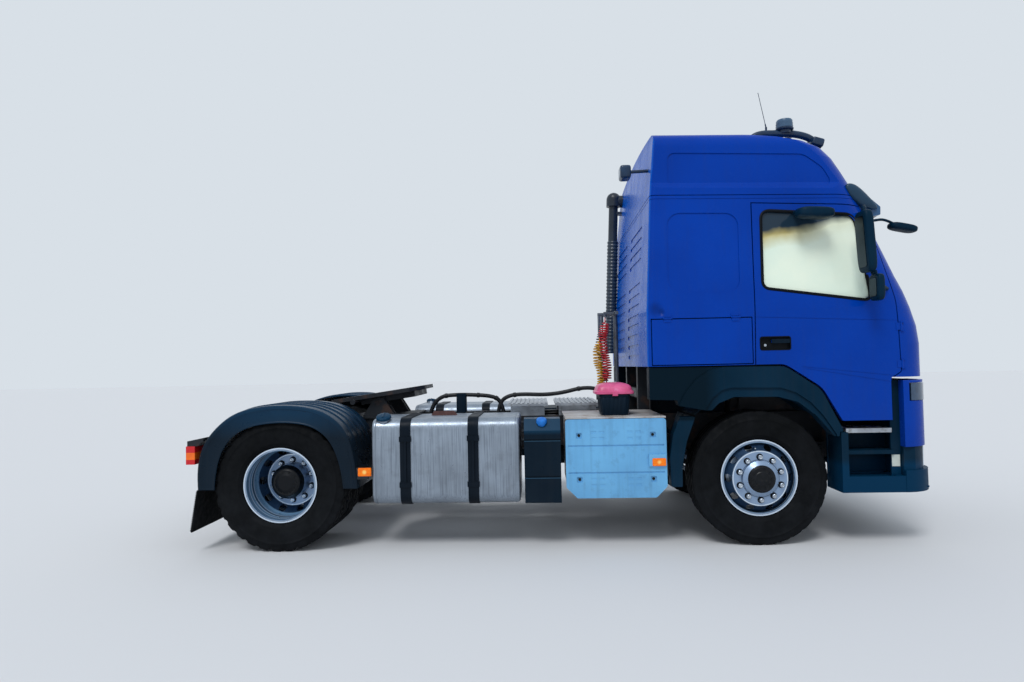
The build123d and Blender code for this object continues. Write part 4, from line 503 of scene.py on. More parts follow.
def tube(path, radius, sides):
    """Round tube along a path."""
    points = []
    up = Vector((0, 0, 1))
    for place, here in enumerate(path):
        before, after = path[max(0, place - 1)], path[min(len(path) - 1, place + 1)]
        way = (Vector(after) - Vector(before)).normalized()
        if abs(way.dot(up)) > 0.95:
            up = Vector((1, 0, 0)) if abs(way.x) < 0.9 else Vector((0, 1, 0))
        first = way.cross(up).normalized()
        second = way.cross(first).normalized()
        up = second * (1 if second.dot(up) >= 0 else -1)
        for side in range(sides):
            angle = 2 * math.pi * side / sides
            points.append(Vector(here) + radius * (math.cos(angle) * first + math.sin(angle) * second))
    return capped(points, sides)


def turned(centre, axis, profile, sides=24):
    """Turned shape: its radius and its place along the axis, in turn."""
    axis = Vector(axis).normalized()
    first = axis.orthogonal().normalized()
    second = axis.cross(first)
    points = []
    for radius, place in profile:
        for side in range(sides):
            angle = 2 * math.pi * side / sides
            across = math.cos(angle) * first + math.sin(angle) * second
            points.append(Vector(centre) + axis * place + radius * across)
    return capped(points, sides)


def rounded_loop(corners, radii, steps):
    """Closed outline through 2-D corners with rounded turns."""
    loop = []
    for place, corner in enumerate(corners):
        here = Vector(corner)
        before = (Vector(corners[place - 1]) - here).normalized()
        after = (Vector(corners[(place + 1) % len(corners)]) - here).normalized()
        run = radii[place] / math.tan(before.angle(after) / 2)
        start, end = here + before * run, here + after * run
        for step in range(steps + 1):
            t = step / steps
            loop.append(tuple((1 - t) ** 2 * start + 2 * t * (1 - t) * here + t ** 2 * end))
    return loop


def rectangle(low, high, bottom, top, radius, steps):
    """Closed rectangle with rounded corners."""
    return rounded_loop([(low, bottom), (high, bottom), (high, top), (low, top)], [radius] * 4, steps)


def grown(loop, amount):
    """Closed outline moved outwards by an amount."""
    count = len(loop)
    turn = sum(loop[i][0] * loop[(i + 1) % count][1] - loop[(i + 1) % count][0] * loop[i][1]
               for i in range(count))
    sign = 1 if turn > 0 else -1
    moved = []
    for place in range(count):
        way = Vector(loop[(place + 1) % count]) - Vector(loop[place - 1])
        out = Vector((way.y, -way.x)).normalized() * sign
        moved.append(tuple(Vector(loop[place]) + out * amount))
    return moved


def surface(*names):
    """Search tree over the shapes of some nodes."""
    bm = bmesh.new()
    for name in names:
        bm.from_mesh(nodes[name].data)
    tree = BVHTree.FromBMesh(bm)
    bm.free()
    return tree


def drop(tree, start, way, default=None):
    """Where a line from a point first meets a surface."""
    hit = tree.ray_cast(Vector(start), Vector(way))[0]
    return hit if hit is not None else default


def smooth_curve(name, points, radius=0.0):
    """NURBS curve with the points as its control points."""
    data = bpy.data.curves.new(name, "CURVE")
    data.dimensions = "3D"
    spline = data.splines.new("NURBS")
    spline.points.add(len(points) - 1)
    for point, place in zip(spline.points, points):
        point.co = (*place, 1)
    spline.order_u = 3
    spline.use_endpoint_u = True
    data.bevel_depth = radius
    data.bevel_resolution = 3
    data.resolution_u = 4
    return data


def read_line(data):
    """Points along a curve that has no bevel."""
    holder = bpy.data.objects.new("route", data)
    mesh = bpy.data.meshes.new_from_object(holder)
    line = [v.co.copy() for v in mesh.vertices]
    bpy.data.objects.remove(holder)
    bpy.data.meshes.remove(mesh)
    return line


def middle_line(points):
    """Points along the smooth curve through a route."""
    data = smooth_curve("route", points)
    data.resolution_u = 24
    return read_line(data)


def bent_tube(route, radius, sides):
    """Round tube that follows the smooth curve of a route."""
    line = middle_line(route)
    return tube(line[::3] + [line[-1]], radius, sides)


def along(line, share):
    """Point at a share of a line's length."""
    place = share * (len(line) - 1)
    first = min(int(place), len(line) - 2)
    return line[first].lerp(line[first + 1], place - first)


# Coiled lines between the stand's upper and lower couplings: a word, the place, top and bottom.
# The points down the middle of each are the route of its CAD tube.
stand_x = 0.595
coil_table = [("red", stand_x - 0.105, -0.29, 1.88, 1.25),
              ("yellow", stand_x - 0.15, -0.17, 1.7, 1.19),
              ("black", stand_x - 0.11, -0.05, 1.8, 1.215)]
sag = 0.026
line_radius = 0.0055
coil_turn_radius = 0.0385
coil_pitch = 0.0235
turn_points = 14


def coil_route(x, y, top, bottom):
    """Points down the middle of one hanging coil, which sways a little."""
    height = top - bottom
    return [(x, y, top), (x, y, top - 0.1 * height), (x - sag, y + 0.006, top - 0.3 * height),
            (x - 0.6 * sag, y - 0.008, top - 0.5 * height),
            (x + 0.5 * sag, y + 0.004, top - 0.72 * height),
            (x, y, top - 0.9 * height), (x, y, bottom)]


def add_coil(word, x, y, top, bottom):
    """Curly line: straight at both ends, its turns uneven as old ones are."""
    line = middle_line(coil_route(x, y, top, bottom))
    turns = int((top - bottom) * 0.86 / coil_pitch)
    points = [tuple(along(line, 0.0)), tuple(along(line, 0.035))]
    count = turns * turn_points
    for step in range(count + 1):
        t = step / count
        ease = min(1.0, step / turn_points, (count - step) / turn_points)
        swell = 1 + 0.1 * math.sin(7.1 * t + x * 40) - 0.06 * math.sin(23 * t)
        drift = 0.006 * math.sin(15 * t + y * 9)
        angle = 2 * math.pi * (turns * t + 0.12 * math.sin(9 * t))
        middle = along(line, 0.07 + 0.86 * t)
        reach = coil_turn_radius * swell * ease
        points.append((middle.x + reach * math.cos(angle), middle.y + reach * math.sin(angle),
                       middle.z + drift * ease))
    points += [tuple(along(line, 0.965)), tuple(along(line, 1.0))]
    name = f"coil_{word}_line"
    piece = link_piece(name, smooth_curve(name, points, line_radius), f"line_{word}", of=f"coil_{word}")
    path = read_line(smooth_curve("measure", points))
    length = sum((a - b).length for a, b in zip(path, path[1:]))


for row in coil_table:
    add_coil(*row)

# Tyres: radius and half width down one side
groove_depth = 0.014
side_profile = [(0.2865, 0.111), (0.301, 0.1125), (0.306, 0.118), (0.311, 0.129),
                (0.32, 0.136), (0.334, 0.143), (0.336, 0.145), (0.342, 0.145),
                (0.36, 0.15), (0.385, 0.154), (0.41, 0.1555), (0.435, 0.155),
                (0.455, 0.153), (0.457, 0.1545), (0.463, 0.1543), (0.465, 0.1515),
                (0.485, 0.1465), (0.502, 0.1415), (0.513, 0.138), (0.521, 0.1335),
                (0.5245, 0.129)]


def tread_profile(grooves, half):
    """Tread from one shoulder to the other with grooves round it."""
    points = []
    for middle in grooves:
        points += [(tyre_radius, middle - half - 0.002), (tyre_radius - groove_depth, middle - half),
                   (tyre_radius - groove_depth, middle + half), (tyre_radius, middle + half + 0.002)]
    return points


def tyre_shape(x, y, side, drive):
    """One tyre; a driven one has blocks and notched shoulders."""
    if drive:
        tread = tread_profile((-0.078, -0.026, 0.026, 0.078), 0.0045)
    else:
        tread = tread_profile((-0.088, -0.032, 0.032, 0.088), 0.006)
    profile = [(r, -w) for r, w in side_profile] + tread + [(r, w) for r, w in reversed(side_profile)]
    around = 180
    points = []
    for place in range(around):
        angle = 2 * math.pi * place / around
        for r, w in profile:
            outer = abs(w) > 0.086
            phase = (place + (2 if w > 0 else 0)) % 6
            cut = r > 0.5 and outer and phase < (2 if drive else 1)
            if drive and not outer and r > 0.52 and (place + (3 if abs(w) < 0.03 else 0)) % 6 < 1:
                cut = True
            reach = r - (groove_depth * (0.8 if drive else 0.35) if cut else 0)
            z = wheel_z + reach * math.sin(angle)
            points.append((x + reach * math.cos(angle), y + side * w, max(z, 0.0)))
    return points, ring_faces(around, len(profile), True)


twin_places = (0.924 + 0.345 / 2, 0.924 - 0.345 / 2)
for word, side in both_sides:
    for name, body, tyres in (
            ("tyre_front_", "wheel_front_", [tyre_shape(front_axle, side * 1.025, side, False)]),
            ("tyres_rear_", "wheels_rear_", [tyre_shape(rear_axle, side * y, side, True)
                                             for y in twin_places])):
        mesh_piece(f"{name}{word}_tread", tyres, "rubber", body + word, name + word)

# Door window surround and screen surround
window_loop = rounded_loop([(front_axle + 0.073, 2.634), (front_axle + 0.052, 2.017),
                            (front_axle + 0.87, 1.9), (front_axle + 0.795, 2.58)],
                           [0.07, 0.06, 0.05, 0.09], 10)
screen_loop = rounded_loop([(-1.035, 1.625), (1.035, 1.625), (0.975, 2.635), (-0.975, 2.635)],
                           [0.08] * 4, 10)
seal_inner, seal_stand, seal_depth = 0.006, 0.003, 0.018


def seal_piece(name, loop, tree, to_point, way, body, width):
    """Rubber strip round an opening, lying on the surface and turned into it."""
    outer, edge = grown(loop, width), grown(loop, -seal_inner)
    out = -Vector(way)
    points = []
    for (a, b), (c, d) in zip(outer, edge):
        on = drop(tree, to_point(a, b), way)
        rim = drop(tree, to_point(*[p + (q - p) * 0.3 for p, q in ((a, c), (b, d))]), way, on)
        near = Vector(to_point(c, d))
        inside = near + out * (rim - near).dot(out)
        points += [on + out * 0.0005, on + out * seal_stand, inside + out * seal_stand,
                   inside - out * seal_depth]
    mesh_piece(name, [(points, ring_faces(len(outer), 4, True))], "seal_black", body)


for word, side in both_sides:
    seal_piece(f"window_seal_{word}", window_loop, surface(f"door_{word}"),
               lambda x, z, s=side: (x, s * 1.6, z), (0, -side, 0), f"door_{word}", 0.016)
seal_piece("screen_seal", screen_loop, surface("cab_shell"), lambda y, z: (3.4, y, z), (-1, 0, 0),
           "cab", 0.02)


def door_handle(word, side):
    """Recess lining, pull flap and lock of one door handle."""
    y = side * body_half
    x0, x1, z0, z1 = front_axle + 0.008, front_axle + 0.242, 1.527, 1.63
    loop = rectangle(x0 + 0.001, x1 - 0.001, z0 + 0.001, z1 - 0.001, 0.018, 6)
    points = [(x, y + side * lift, z) for grow, lift in ((0.004, 0.0025), (-0.004, 0.003), (-0.005, -0.0215))
              for x, z in grown(loop, grow)]
    count = len(loop)
    faces = ring_faces(3, count) + [tuple(range(2 * count, 3 * count))]
    door = f"door_{word}"
    mesh_piece(f"handle_recess_{word}", [(points, faces)], "seal_black", door, smooth=False)
    boxes_piece(f"handle_flap_{word}", [((front_axle + 0.098, y - side * 0.004, 1.578),
                                         (front_axle + 0.238, y + side * 0.001, 1.612))],
                "trim_dark", 0.002, door)
    bm = bmesh.new()
    place = Matrix.Translation((front_axle + 0.052, y - side * 0.018, 1.565))
    bmesh.ops.create_cone(bm, cap_ends=True, segments=24, radius1=0.011, radius2=0.01, depth=0.006,
                          matrix=place @ Matrix.Rotation(side * math.radians(-90), 4, "X"))
    link_piece(f"door_lock_{word}", mesh_of(bm, "lock"), "chrome", door)


for word, side in both_sides:
    door_handle(word, side)


# Seats and bunk: crowned cushions with sewn channels
def cushion_piece(name, low, high, channels, power=5.0):
    """Crowned cushion between two corners, with a number of channels sewn along one axis."""
    bm = bmesh.new()
    bmesh.ops.create_cube(bm, size=2.0)
    bmesh.ops.subdivide_edges(bm, edges=bm.edges[:], cuts=11, use_grid_fill=True)
    half = [(h - l) / 2 for l, h in zip(low, high)]
    middle = [(h + l) / 2 for l, h in zip(low, high)]
    axis, count = channels
    for vertex in bm.verts:
        p = vertex.co
        length = (abs(p.x) ** power + abs(p.y) ** power + abs(p.z) ** power) ** (1 / power)
        q = [c / length for c in p]
        if count:
            wave = abs(math.sin(math.pi * count * (q[axis] + 1) / 2))
            squeeze = 1 - 0.055 * (1 - wave) ** 4
            q = [c if i == axis else c * squeeze for i, c in enumerate(q)]
        vertex.co = [m + h * c for m, h, c in zip(middle, half, q)]
    mesh = mesh_of(bm, name)
    for face in mesh.polygons:
        face.use_smooth = True
    piece = link_piece(name, mesh, "fabric", "cab", of="seats")


seat_y = 0.6
for word, side in both_sides:
    y = side * seat_y
    for part, rear, front, half_width, bottom, top, fill, channels in (
            ("seat_base", -0.115, 0.418, 0.258, 1.692, 1.829, 0.8, (1, 3)),
            ("seat_back", -0.178, -0.062, 0.248, 1.832, 2.419, 0.8, (1, 3)),
            ("head_rest", -0.174, -0.087, 0.138, 2.431, 2.619, 0.9, (0, 0))):
        cushion_piece(f"{part}_{word}", (front_axle + rear, y - half_width, bottom),
                      (front_axle + front, y + half_width, top), channels)
cushion_piece("bunk_mattress", (cab_rear + 0.062, -1.148, 1.7915), (front_axle - 0.242, 1.148, 1.899),
              (1, 7), 9.0)
hard = [((front_axle - 0.059, s * seat_y - 0.199, 1.456), (front_axle + 0.339, s * seat_y + 0.199, 1.689))
        for s in (1, -1)]
hard += [((front_axle - 0.139, s * seat_y + e - 0.009, 2.415),
          (front_axle - 0.121, s * seat_y + e + 0.009, 2.44)) for s in (1, -1) for e in (-0.05, 0.05)]
boxes_piece("seat_frames", hard, "trim_dark", 0.006, "cab", of="seats")
bunk_rear, bunk_front = cab_rear + 0.061, front_axle - 0.241
boxes_piece("bunk_base", [
    ((bunk_rear, -1.149, 1.456), (bunk_front, 1.149, 1.467)),
    ((bunk_rear, -1.149, 1.773), (bunk_front, 1.149, 1.7895)),
    ((bunk_rear, -1.149, 1.466), (cab_rear + 0.077, 1.149, 1.774)),
    ((bunk_front - 0.017, -1.149, 1.466), (bunk_front, 1.149, 1.774)),
    ((bunk_rear, -0.299, 1.466), (bunk_front, 0.299, 1.774))], "trim_grey", 0.003, "cab", of="seats")

bolt_circle = 0.1675
bolt_count = 10


def wheel_fittings(name, body, x, side, face, hub_end, cap_reach):
    """Washers, domed nuts, hub cap and valve of one wheel."""
    def at(radius, degrees, depth):
        angle = math.radians(degrees)
        return x + radius * math.cos(angle), side * depth, wheel_z + radius * math.sin(angle)
    out = (0, side, 0)
    turns = [360 / bolt_count * turn for turn in range(bolt_count)]
    washers = [turned(at(bolt_circle, turn + 18, face), out, [
        (0.0262, -0.002), (0.0262, 0.003), (0.0225, 0.0045), (0.001, 0.0045)]) for turn in turns]
    domes = [turned(at(bolt_circle, turn + 18, face + 0.012), out, [
        (0.019, 0), (0.0188, 0.013), (0.0165, 0.019), (0.0095, 0.0215), (0.0085, 0.02),
        (0.001, 0.02)]) for turn in turns]
    mesh_piece(f"washers_{name}", washers, "hub_black", body, smooth=False)
    mesh_piece(f"nuts_{name}", domes, "chrome", body)
    caps = [turned((x, side * hub_end, wheel_z), out, [
        (cap_reach, -0.004), (cap_reach, 0.005), (cap_reach - 0.008, 0.009), (cap_reach * 0.62, 0.01),
        (cap_reach * 0.56, 0.014), (0.02, 0.018), (0.001, 0.0185)], 48)]
    caps += [turned(at(cap_reach * 0.8, turn, hub_end + 0.006), out,
                    [(0.0075, 0), (0.0075, 0.009), (0.001, 0.0095)], 6) for turn in turns]
    mesh_piece(f"hub_cap_{name}", caps, "hub_black", body, smooth=False)
    valve = turned(at(0.238, 99, face - 0.034), out, [
        (0.0045, 0), (0.0045, 0.04), (0.0065, 0.041), (0.0065, 0.054), (0.001, 0.055)], 12)
    mesh_piece(f"valve_{name}", [valve], "chrome", body)


for word, side in both_sides:
    wheel_fittings(f"front_{word}", f"wheel_front_{word}", front_axle, side, 1.175, 1.217, 0.098)
    wheel_fittings(f"rear_{word}", f"wheels_rear_{word}", rear_axle, side, 0.938, 1.094, 0.108)

# Tanks: end seams, strap clamps, the brown plate and the caps
tank_outer = 1.235
tank_inner = tank_outer - 0.64
tank_bottom, tank_top = 0.361, 1.039
tank_rear = front_axle - 3.054
seam_width = 0.006


def tank_seam(x, side):
    """Raised weld seam round a tank."""
    loop = rectangle(tank_inner, tank_outer, tank_bottom, tank_top, 0.085, 10)
    points = [(place, side * y, z) for place, grow in (
        (x, -0.001), (x, 0.0022), (x + seam_width, 0.0022), (x + seam_width, -0.001))
        for y, z in grown(loop, grow)]
    return points, ring_faces(4, len(loop))


seams, clamps, necks, fuel_caps = [], [], [], []
for side, tank_front, strap_front in ((-1, front_axle - 1.88, front_axle - 2.245),
                                      (1, front_axle - 1.99, front_axle - 2.29)):
    seams += [tank_seam(tank_rear + 0.028, side), tank_seam(tank_front - 0.034, side)]
    for x in (tank_rear + 0.27, strap_front):
        for half, y0, y1, low, high in ((0.048, 1.242, 1.25, 0.498, 0.542),
                                        (0.048, 1.242, 1.25, 0.858, 0.902),
                                        (0.01, 1.243, 1.254, 0.54, 0.86)):
            clamps.append(((x - half, side * y0, low), (x + half, side * y1, high)))
for side in (1, -1):
    lean = Vector((0, side * 0.375, 0.927))
    seat = Vector((tank_rear + 0.09, side * 1.18, 1.029))
    necks.append(turned(seat, lean, [(0.047, -0.04), (0.047, 0.004), (0.05, 0.006), (0.05, 0.012)], 32))
    points, faces = turned(seat, lean, [(0.052, 0.012), (0.06, 0.015), (0.06, 0.034), (0.054, 0.04),
                                        (0.03, 0.042), (0.001, 0.043)], 48)
    fuel_caps.append(([seat + (p - seat) * (1.0 if (i // 2) % 2 or i >= 192 else 0.97)
                       for i, p in enumerate(points)], faces))
    grip = lean.cross(Vector((1, 0, 0))).normalized() * 0.034
    fuel_caps += [turned(seat + lean * 0.04 + grip * end * 0.5, grip,
                         [(0.009, -0.018), (0.01, 0.0), (0.009, 0.018)], 12) for end in (-1, 1)]
mesh_piece("tank_seams", seams, "tank_metal")
boxes_piece("strap_clamps", clamps, "strap_black", 0.002)
plate = [(x, y, z) for y in (-0.9, -0.895)
         for x, z in ((-1.049, 1.0385), (-1.024, 1.076), (-0.858, 1.077), (-0.823, 1.0385))]
mesh_piece("tank_plate", [capped(plate, 4)], "plate_brown", smooth=False)
mesh_piece("fuel_necks", necks, "tank_metal", of="filler_caps", sharp=0.7)
mesh_piece("fuel_caps", fuel_caps, "fluid_plastic", of="filler_caps", smooth=False, sharp=0.7)
fluid_cap = turned((front_axle - 1.702, -1.196, 0.985), (0, -0.42, 0.907), [
    (0.033, -0.012), (0.033, 0.004), (0.041, 0.006), (0.042, 0.028), (0.037, 0.036), (0.02, 0.039),
    (0.001, 0.04)], 28)
mesh_piece("fluid_cap", [fluid_cap], "cap_blue", of="filler_caps", sharp=0.7)

# Amber lenses in front of their brackets, each with a bright spot
lenses = [((front_axle - 0.848, -1.27, 0.645), (front_axle - 0.744, -1.26, 0.706)),
          ((front_axle - 1.13, 1.24, 0.655), (front_axle - 1.018, 1.248, 0.725)),
          ((rear_axle + 0.64, -1.26, 0.594), (rear_axle + 0.744, -1.237, 0.66)),
          ((rear_axle + 0.64, 1.237, 0.594), (rear_axle + 0.744, 1.26, 0.66))]
for low, high in lenses:
    recolour("glass_lens", (255, 206, 110),
             ramp(("x", (low[0] + high[0]) / 2, (low[2] + high[2]) / 2), 0.004, 0.02, 0.9, 0.0))
boxes_piece("amber_lenses", lenses, "glass_lens", 0.006)

# Cover fasteners, blank labels and plates
fasteners = [turned((x, -1.2335, z), (0, -1, 0), [(0.0125, -0.003), (0.0125, 0.005), (0.001, 0.0055)], 6)
             for x in (front_axle - 1.412, front_axle - 0.838) for z in (0.887, 0.544)]
mesh_piece("cover_fasteners", fasteners, "hub_black", smooth=False)
boxes_piece("step_label", [((2.594, -1.1735, 0.605), (2.656, -1.1715, 0.695))], "plate_pale", 0.0005)
boxes_piece("lid_label", [((0.44, -0.985, 1.2915), (0.5, -0.935, 1.2945))], "plate_pale", 0.0005,
            "toolbox_lid")
boxes_piece("plate_holder", [((-2.957, -0.41, 0.77), (-2.9395, 0.11, 0.885))], "trim_dark", 0.002)
boxes_piece("blank_plate", [((-2.96, -0.4, 0.78), (-2.9565, 0.1, 0.875))], "plate_pale", 0.0005)

# Cover over the gearbox, and the beam that carries the back of the cab
boxes_piece("gearbox_cover", [((0.9, -0.225, 0.93), (1.585, 0.225, 1.15))] + [
    ((x, -0.235, 0.985), (x + 0.05, 0.235, 1.16)) for x in (0.96, 1.19, 1.42)], "trim_dark", 0.012)
boxes_piece("cab_rear_beam", [((0.778, -0.4, 1.12), (0.842, 0.4, 1.21))] + [
    ((0.765, y, 1.105), (0.855, y + 0.09, 1.225)) for y in (-0.41, 0.32)], "frame_paint", 0.006)

# Frame: bolt rows at the crossmembers and air lines with their clips
crossmembers = [2.59, 0.43, -0.32, -1.17, -1.84, -2.55, -2.89]
bolts = [turned((x + dx, side * 0.394, z), (0, side, 0), [(0.0115, 0), (0.0115, 0.009), (0.001, 0.0095)], 6)
         for side in (1, -1) for x in crossmembers for dx in (-0.026, 0.026)
         for z in (0.77, 0.85, 0.93)]
mesh_piece("frame_bolts", bolts, "stand_metal", smooth=False)
pipe_places = (-0.296, 0.296, 0.27)
mesh_piece("air_pipes", [tube([(-2.6 + 0.05 * step, y + 0.004 * math.sin(2.3 * step + 9 * y),
                                0.959 + 0.003 * math.sin(1.7 * step)) for step in range(63)], 0.0095, 10)
                         for y in pipe_places], "line_black")
boxes_piece("pipe_clips", [((x - 0.012, y - 0.016, 0.9445), (x + 0.012, y + 0.016, 0.973))
                           for x in crossmembers[1:6] for y in pipe_places], "trim_dark", 0.002)

# Toolbox: ribbed tub that tapers downwards, with a domed lid hinged over it
box_x, box_y = front_axle - 1.106, -0.9525
hinge_y, hinge_z = -0.78, 1.1813
hinge_places = (front_axle - 1.199, front_axle - 1.028)
corner_power = 7.0


def soft_ring(z, half_x, half_y, rib=0.0):
    """Rounded rectangle at a height, with upright ribs where asked."""
    around = 96
    ring = []
    for place in range(around):
        angle = 2 * math.pi * (place + 0.5) / around
        c, s = math.cos(angle), math.sin(angle)
        reach = (abs(c) ** corner_power + abs(s) ** corner_power) ** (-1 / corner_power)
        grow = rib if place % 4 in (0, 1) else 0.0
        ring.append((box_x + (half_x + grow) * reach * c, box_y + (half_y + grow) * reach * s, z))
    return ring


def lofted(rings):
    """Shape through rings of equal count, closed at both ends."""
    return capped([p for ring in rings for p in ring], len(rings[0]))


def barrel(x, radius, half, sides):
    """Piece of a hinge on the lid's axis."""
    return turned((x, hinge_y, hinge_z), (1, 0, 0), [(radius, -half), (radius, half)], sides)


tub = [lofted([soft_ring(*row) for row in (
    (1.0295, 0.106, 0.136), (1.034, 0.11, 0.14), (1.048, 0.111, 0.141), (1.052, 0.111, 0.141, 0.004),
    (1.172, 0.121, 0.149, 0.004), (1.176, 0.121, 0.149), (1.179, 0.128, 0.1535), (1.194, 0.128, 0.1535),
    (1.196, 0.126, 0.1515), (1.194, 0.121, 0.1465), (1.06, 0.11, 0.137), (1.04, 0.104, 0.132))])]
lid = [lofted([soft_ring(*row) for row in (
    (1.2265, 0.136, 0.142), (1.201, 0.152, 0.158), (1.2, 0.155, 0.161), (1.202, 0.158, 0.164),
    (1.22, 0.158, 0.164), (1.223, 0.155, 0.161), (1.228, 0.147, 0.152), (1.25, 0.141, 0.145),
    (1.262, 0.134, 0.138), (1.274, 0.12, 0.124), (1.283, 0.098, 0.102), (1.289, 0.07, 0.074),
    (1.292, 0.04, 0.044), (1.2925, 0.01, 0.011))])]
ears, links = [], []
for x in hinge_places:
    tub += [barrel(x, 0.004, 0.03, 14), barrel(x - 0.0275, 0.007, 0.003, 20),
            barrel(x + 0.0275, 0.007, 0.003, 20)]
    lid.append(barrel(x, 0.007, 0.024, 20))
    ears += [((x + end - 0.003, -0.803, 1.139), (x + end + 0.003, -0.774, 1.181))
             for end in (-0.0275, 0.0275)]
    links.append(((x - 0.024, -0.794, 1.1835), (x + 0.024, -0.777, 1.2035)))
links.append(((box_x - 0.022, -1.1235, 1.186), (box_x + 0.022, -1.115, 1.216)))
mesh_piece("ribbed_tub", tub, "trim_dark", of="toolbox", sharp=0.6)
boxes_piece("tub_ears", ears, "trim_dark", 0.001, of="toolbox")
mesh_piece("domed_lid", lid, "lid_red", "toolbox_lid", of="toolbox_lid", sharp=0.6)
boxes_piece("lid_links", links, "lid_red", 0.002, "toolbox_lid", of="toolbox_lid")


# Rear mudguards: a smooth arched shell with rolled ribs and a deep outer face
def guard_line(*places):
    """Points along a mudguard's edge, whose places are measured from the rear axle."""
    return middle_line([(rear_axle + x, 0, z) for x, z in places])


guard_inner, guard_outer = 0.57, 1.262
guard_skin = 0.012
guard_top = guard_line((-0.657, 0.5), (-0.672, 0.7), (-0.575, 0.945), (-0.3, 1.16),
                       (0.235, 1.172), (0.52, 1.025), (0.618, 0.76), (0.639, 0.5))
guard_lip = guard_line((-0.516, 0.5), (-0.508, 0.74), (-0.33, 0.985), (0.03, 1.04),
                       (0.34, 0.985), (0.5, 0.74), (0.522, 0.5))


def guard_section(share):
    """Upper and lower side of the shell at a share of the way over the wheels."""
    here = along(guard_top, share)
    way = along(guard_top, min(1, share + 0.01)) - along(guard_top, max(0, share - 0.01))
    out = Vector((-way.z, 0, way.x)).normalized()
    lip = along(guard_lip, share)
    rise = 0.009 * min(1.0, max(0.0, (here.z - 0.8) / 0.12))
    upper = [(guard_inner, 0.0), (guard_inner + 0.006, 0.003)]
    for place in (0.2, 0.4, 0.6, 0.8):
        y = guard_inner + place * (guard_outer - guard_inner)
        upper += [(y - 0.018, 0.0), (y - 0.01, rise), (y + 0.01, rise), (y + 0.018, 0.0)]
    upper += [(1.234, 0.0), (1.252, -0.003), (1.2605, -0.012)]
    top = [here + out * lift + Vector((0, y, 0)) for y, lift in upper]
    under = [here - out * guard_skin + Vector((0, y, 0)) for y, _ in upper[:-1]]
    under.append(here + out * -0.02 + Vector((0, 1.25, 0)))
    for part, y in ((0.14, 1.262), (0.19, 1.2575), (0.88, 1.2575), (0.94, 1.262), (1.0, 1.261)):
        face = (here - out * guard_skin).lerp(lip, part)
        top.append(face + Vector((0, y - face.y, 0)))
        under.append(face + Vector((0, 1.25 - face.y, 0)))
    return top, under


def guard_shape(side):
    """One mudguard."""
    stations = 84
    points = []
    for step in range(stations + 1):
        top, under = guard_section(step / stations)
        points += [Vector((p.x, side * p.y, p.z)) for p in top + under[::-1]]
    around = len(top) * 2
    faces = ring_faces(stations + 1, around)
    for first in (0, stations * around):
        faces += [(first + i, first + i + 1, first + around - 2 - i, first + around - 1 - i)
                  for i in range(len(top) - 1)]
    return points, faces


stays, flaps, ribs = [], [], []
flap_x = rear_axle - 0.655
for side in (1, -1):
    stays += [turned((x, 0, 0.88), (0, side, 0), profile, count)
              for x in (rear_axle - 0.566, rear_axle + 0.552) for profile, count in (
                  ([(0.02, 0.395), (0.02, 0.61)], 24),
                  ([(0.045, 0.395), (0.045, 0.403), (0.001, 0.404)], 6),
                  ([(0.026, 0.57), (0.03, 0.574), (0.03, 0.61), (0.02, 0.614)], 24))]
    flaps.append(([(flap_x + x, side * y, z) for y in (0.59, 1.256) for x, z in (
        (0.003, 0.4997), (-0.007, 0.4997), (-0.0305, 0.35), (-0.06, 0.17), (-0.05, 0.165),
        (-0.0215, 0.345))], ring_faces(2, 6) + [(0, 1, 2, 5), (5, 2, 3, 4), (6, 7, 8, 11), (11, 8, 9, 10)]))
    for z in (0.486 - 0.0145 * step for step in range(22)):
        x = flap_x - 0.0072 - 0.053 * (0.4997 - z) / 0.3297
        ribs.append(((x - 0.0065, side * 0.592, z - 0.0035), (x + 0.003, side * 1.255, z + 0.0035)))
guards = [guard_shape(1), guard_shape(-1)]
mesh_piece("smooth_mudguards", guards, "guard_black", of="rear_mudguards", sharp=0.6)
mesh_piece("flap_panels", flaps, "rubber", of="rear_mudguards", smooth=False)
mesh_piece("guard_stays", stays, "frame_paint", of="rear_mudguards", sharp=0.6)
boxes_piece("flap_ribs", ribs, "rubber", 0.001)

# Conduits: smooth pipes over the frame and their bracket box
conduit_low = 0.9853
bracket_x = front_axle - 2.435
pipes = []
for run in ([(stand_x - 0.0183, 1.152), (stand_x - 0.075, 1.152), (stand_x - 0.263, 1.25),
             (stand_x - 0.6, 1.166), (stand_x - 0.938, 1.185), (stand_x - 1.06, 1.15),
             (stand_x - 1.105, 1.071), (stand_x - 1.115, conduit_low)],
            [(front_axle - 2.73, conduit_low), (front_axle - 2.715, 1.084), (front_axle - 2.625, 1.175),
             (bracket_x - 0.06, 1.185), (bracket_x, 1.185)],
            [(bracket_x, 1.185), (bracket_x + 0.06, 1.185), (front_axle - 2.14, 1.17),
             (front_axle - 2.062, 1.11), (front_axle - 2.04, conduit_low)]):
    route = [(x, -0.335, z) for x, z in run]
    pipes.append(bent_tube(route, 0.0185, 18))
    line = middle_line(route)
    for share in (0.3, 0.62):
        middle = along(line, share)
        pipes.append(turned(middle, along(line, share + 0.02) - middle, [
            (0.0185, -0.014), (0.0225, -0.011), (0.0225, 0.011), (0.0185, 0.014)], 20))
mesh_piece("smooth_conduits", pipes, "line_black", of="conduits", sharp=0.7)
boxes_piece("conduit_box", [
    ((bracket_x - 0.045, -0.373, conduit_low), (bracket_x + 0.045, -0.303, 1.2)),
    ((bracket_x - 0.04, -0.377, 1.02), (bracket_x + 0.04, -0.372, 1.18))],
    "trim_dark", 0.006, of="conduits")

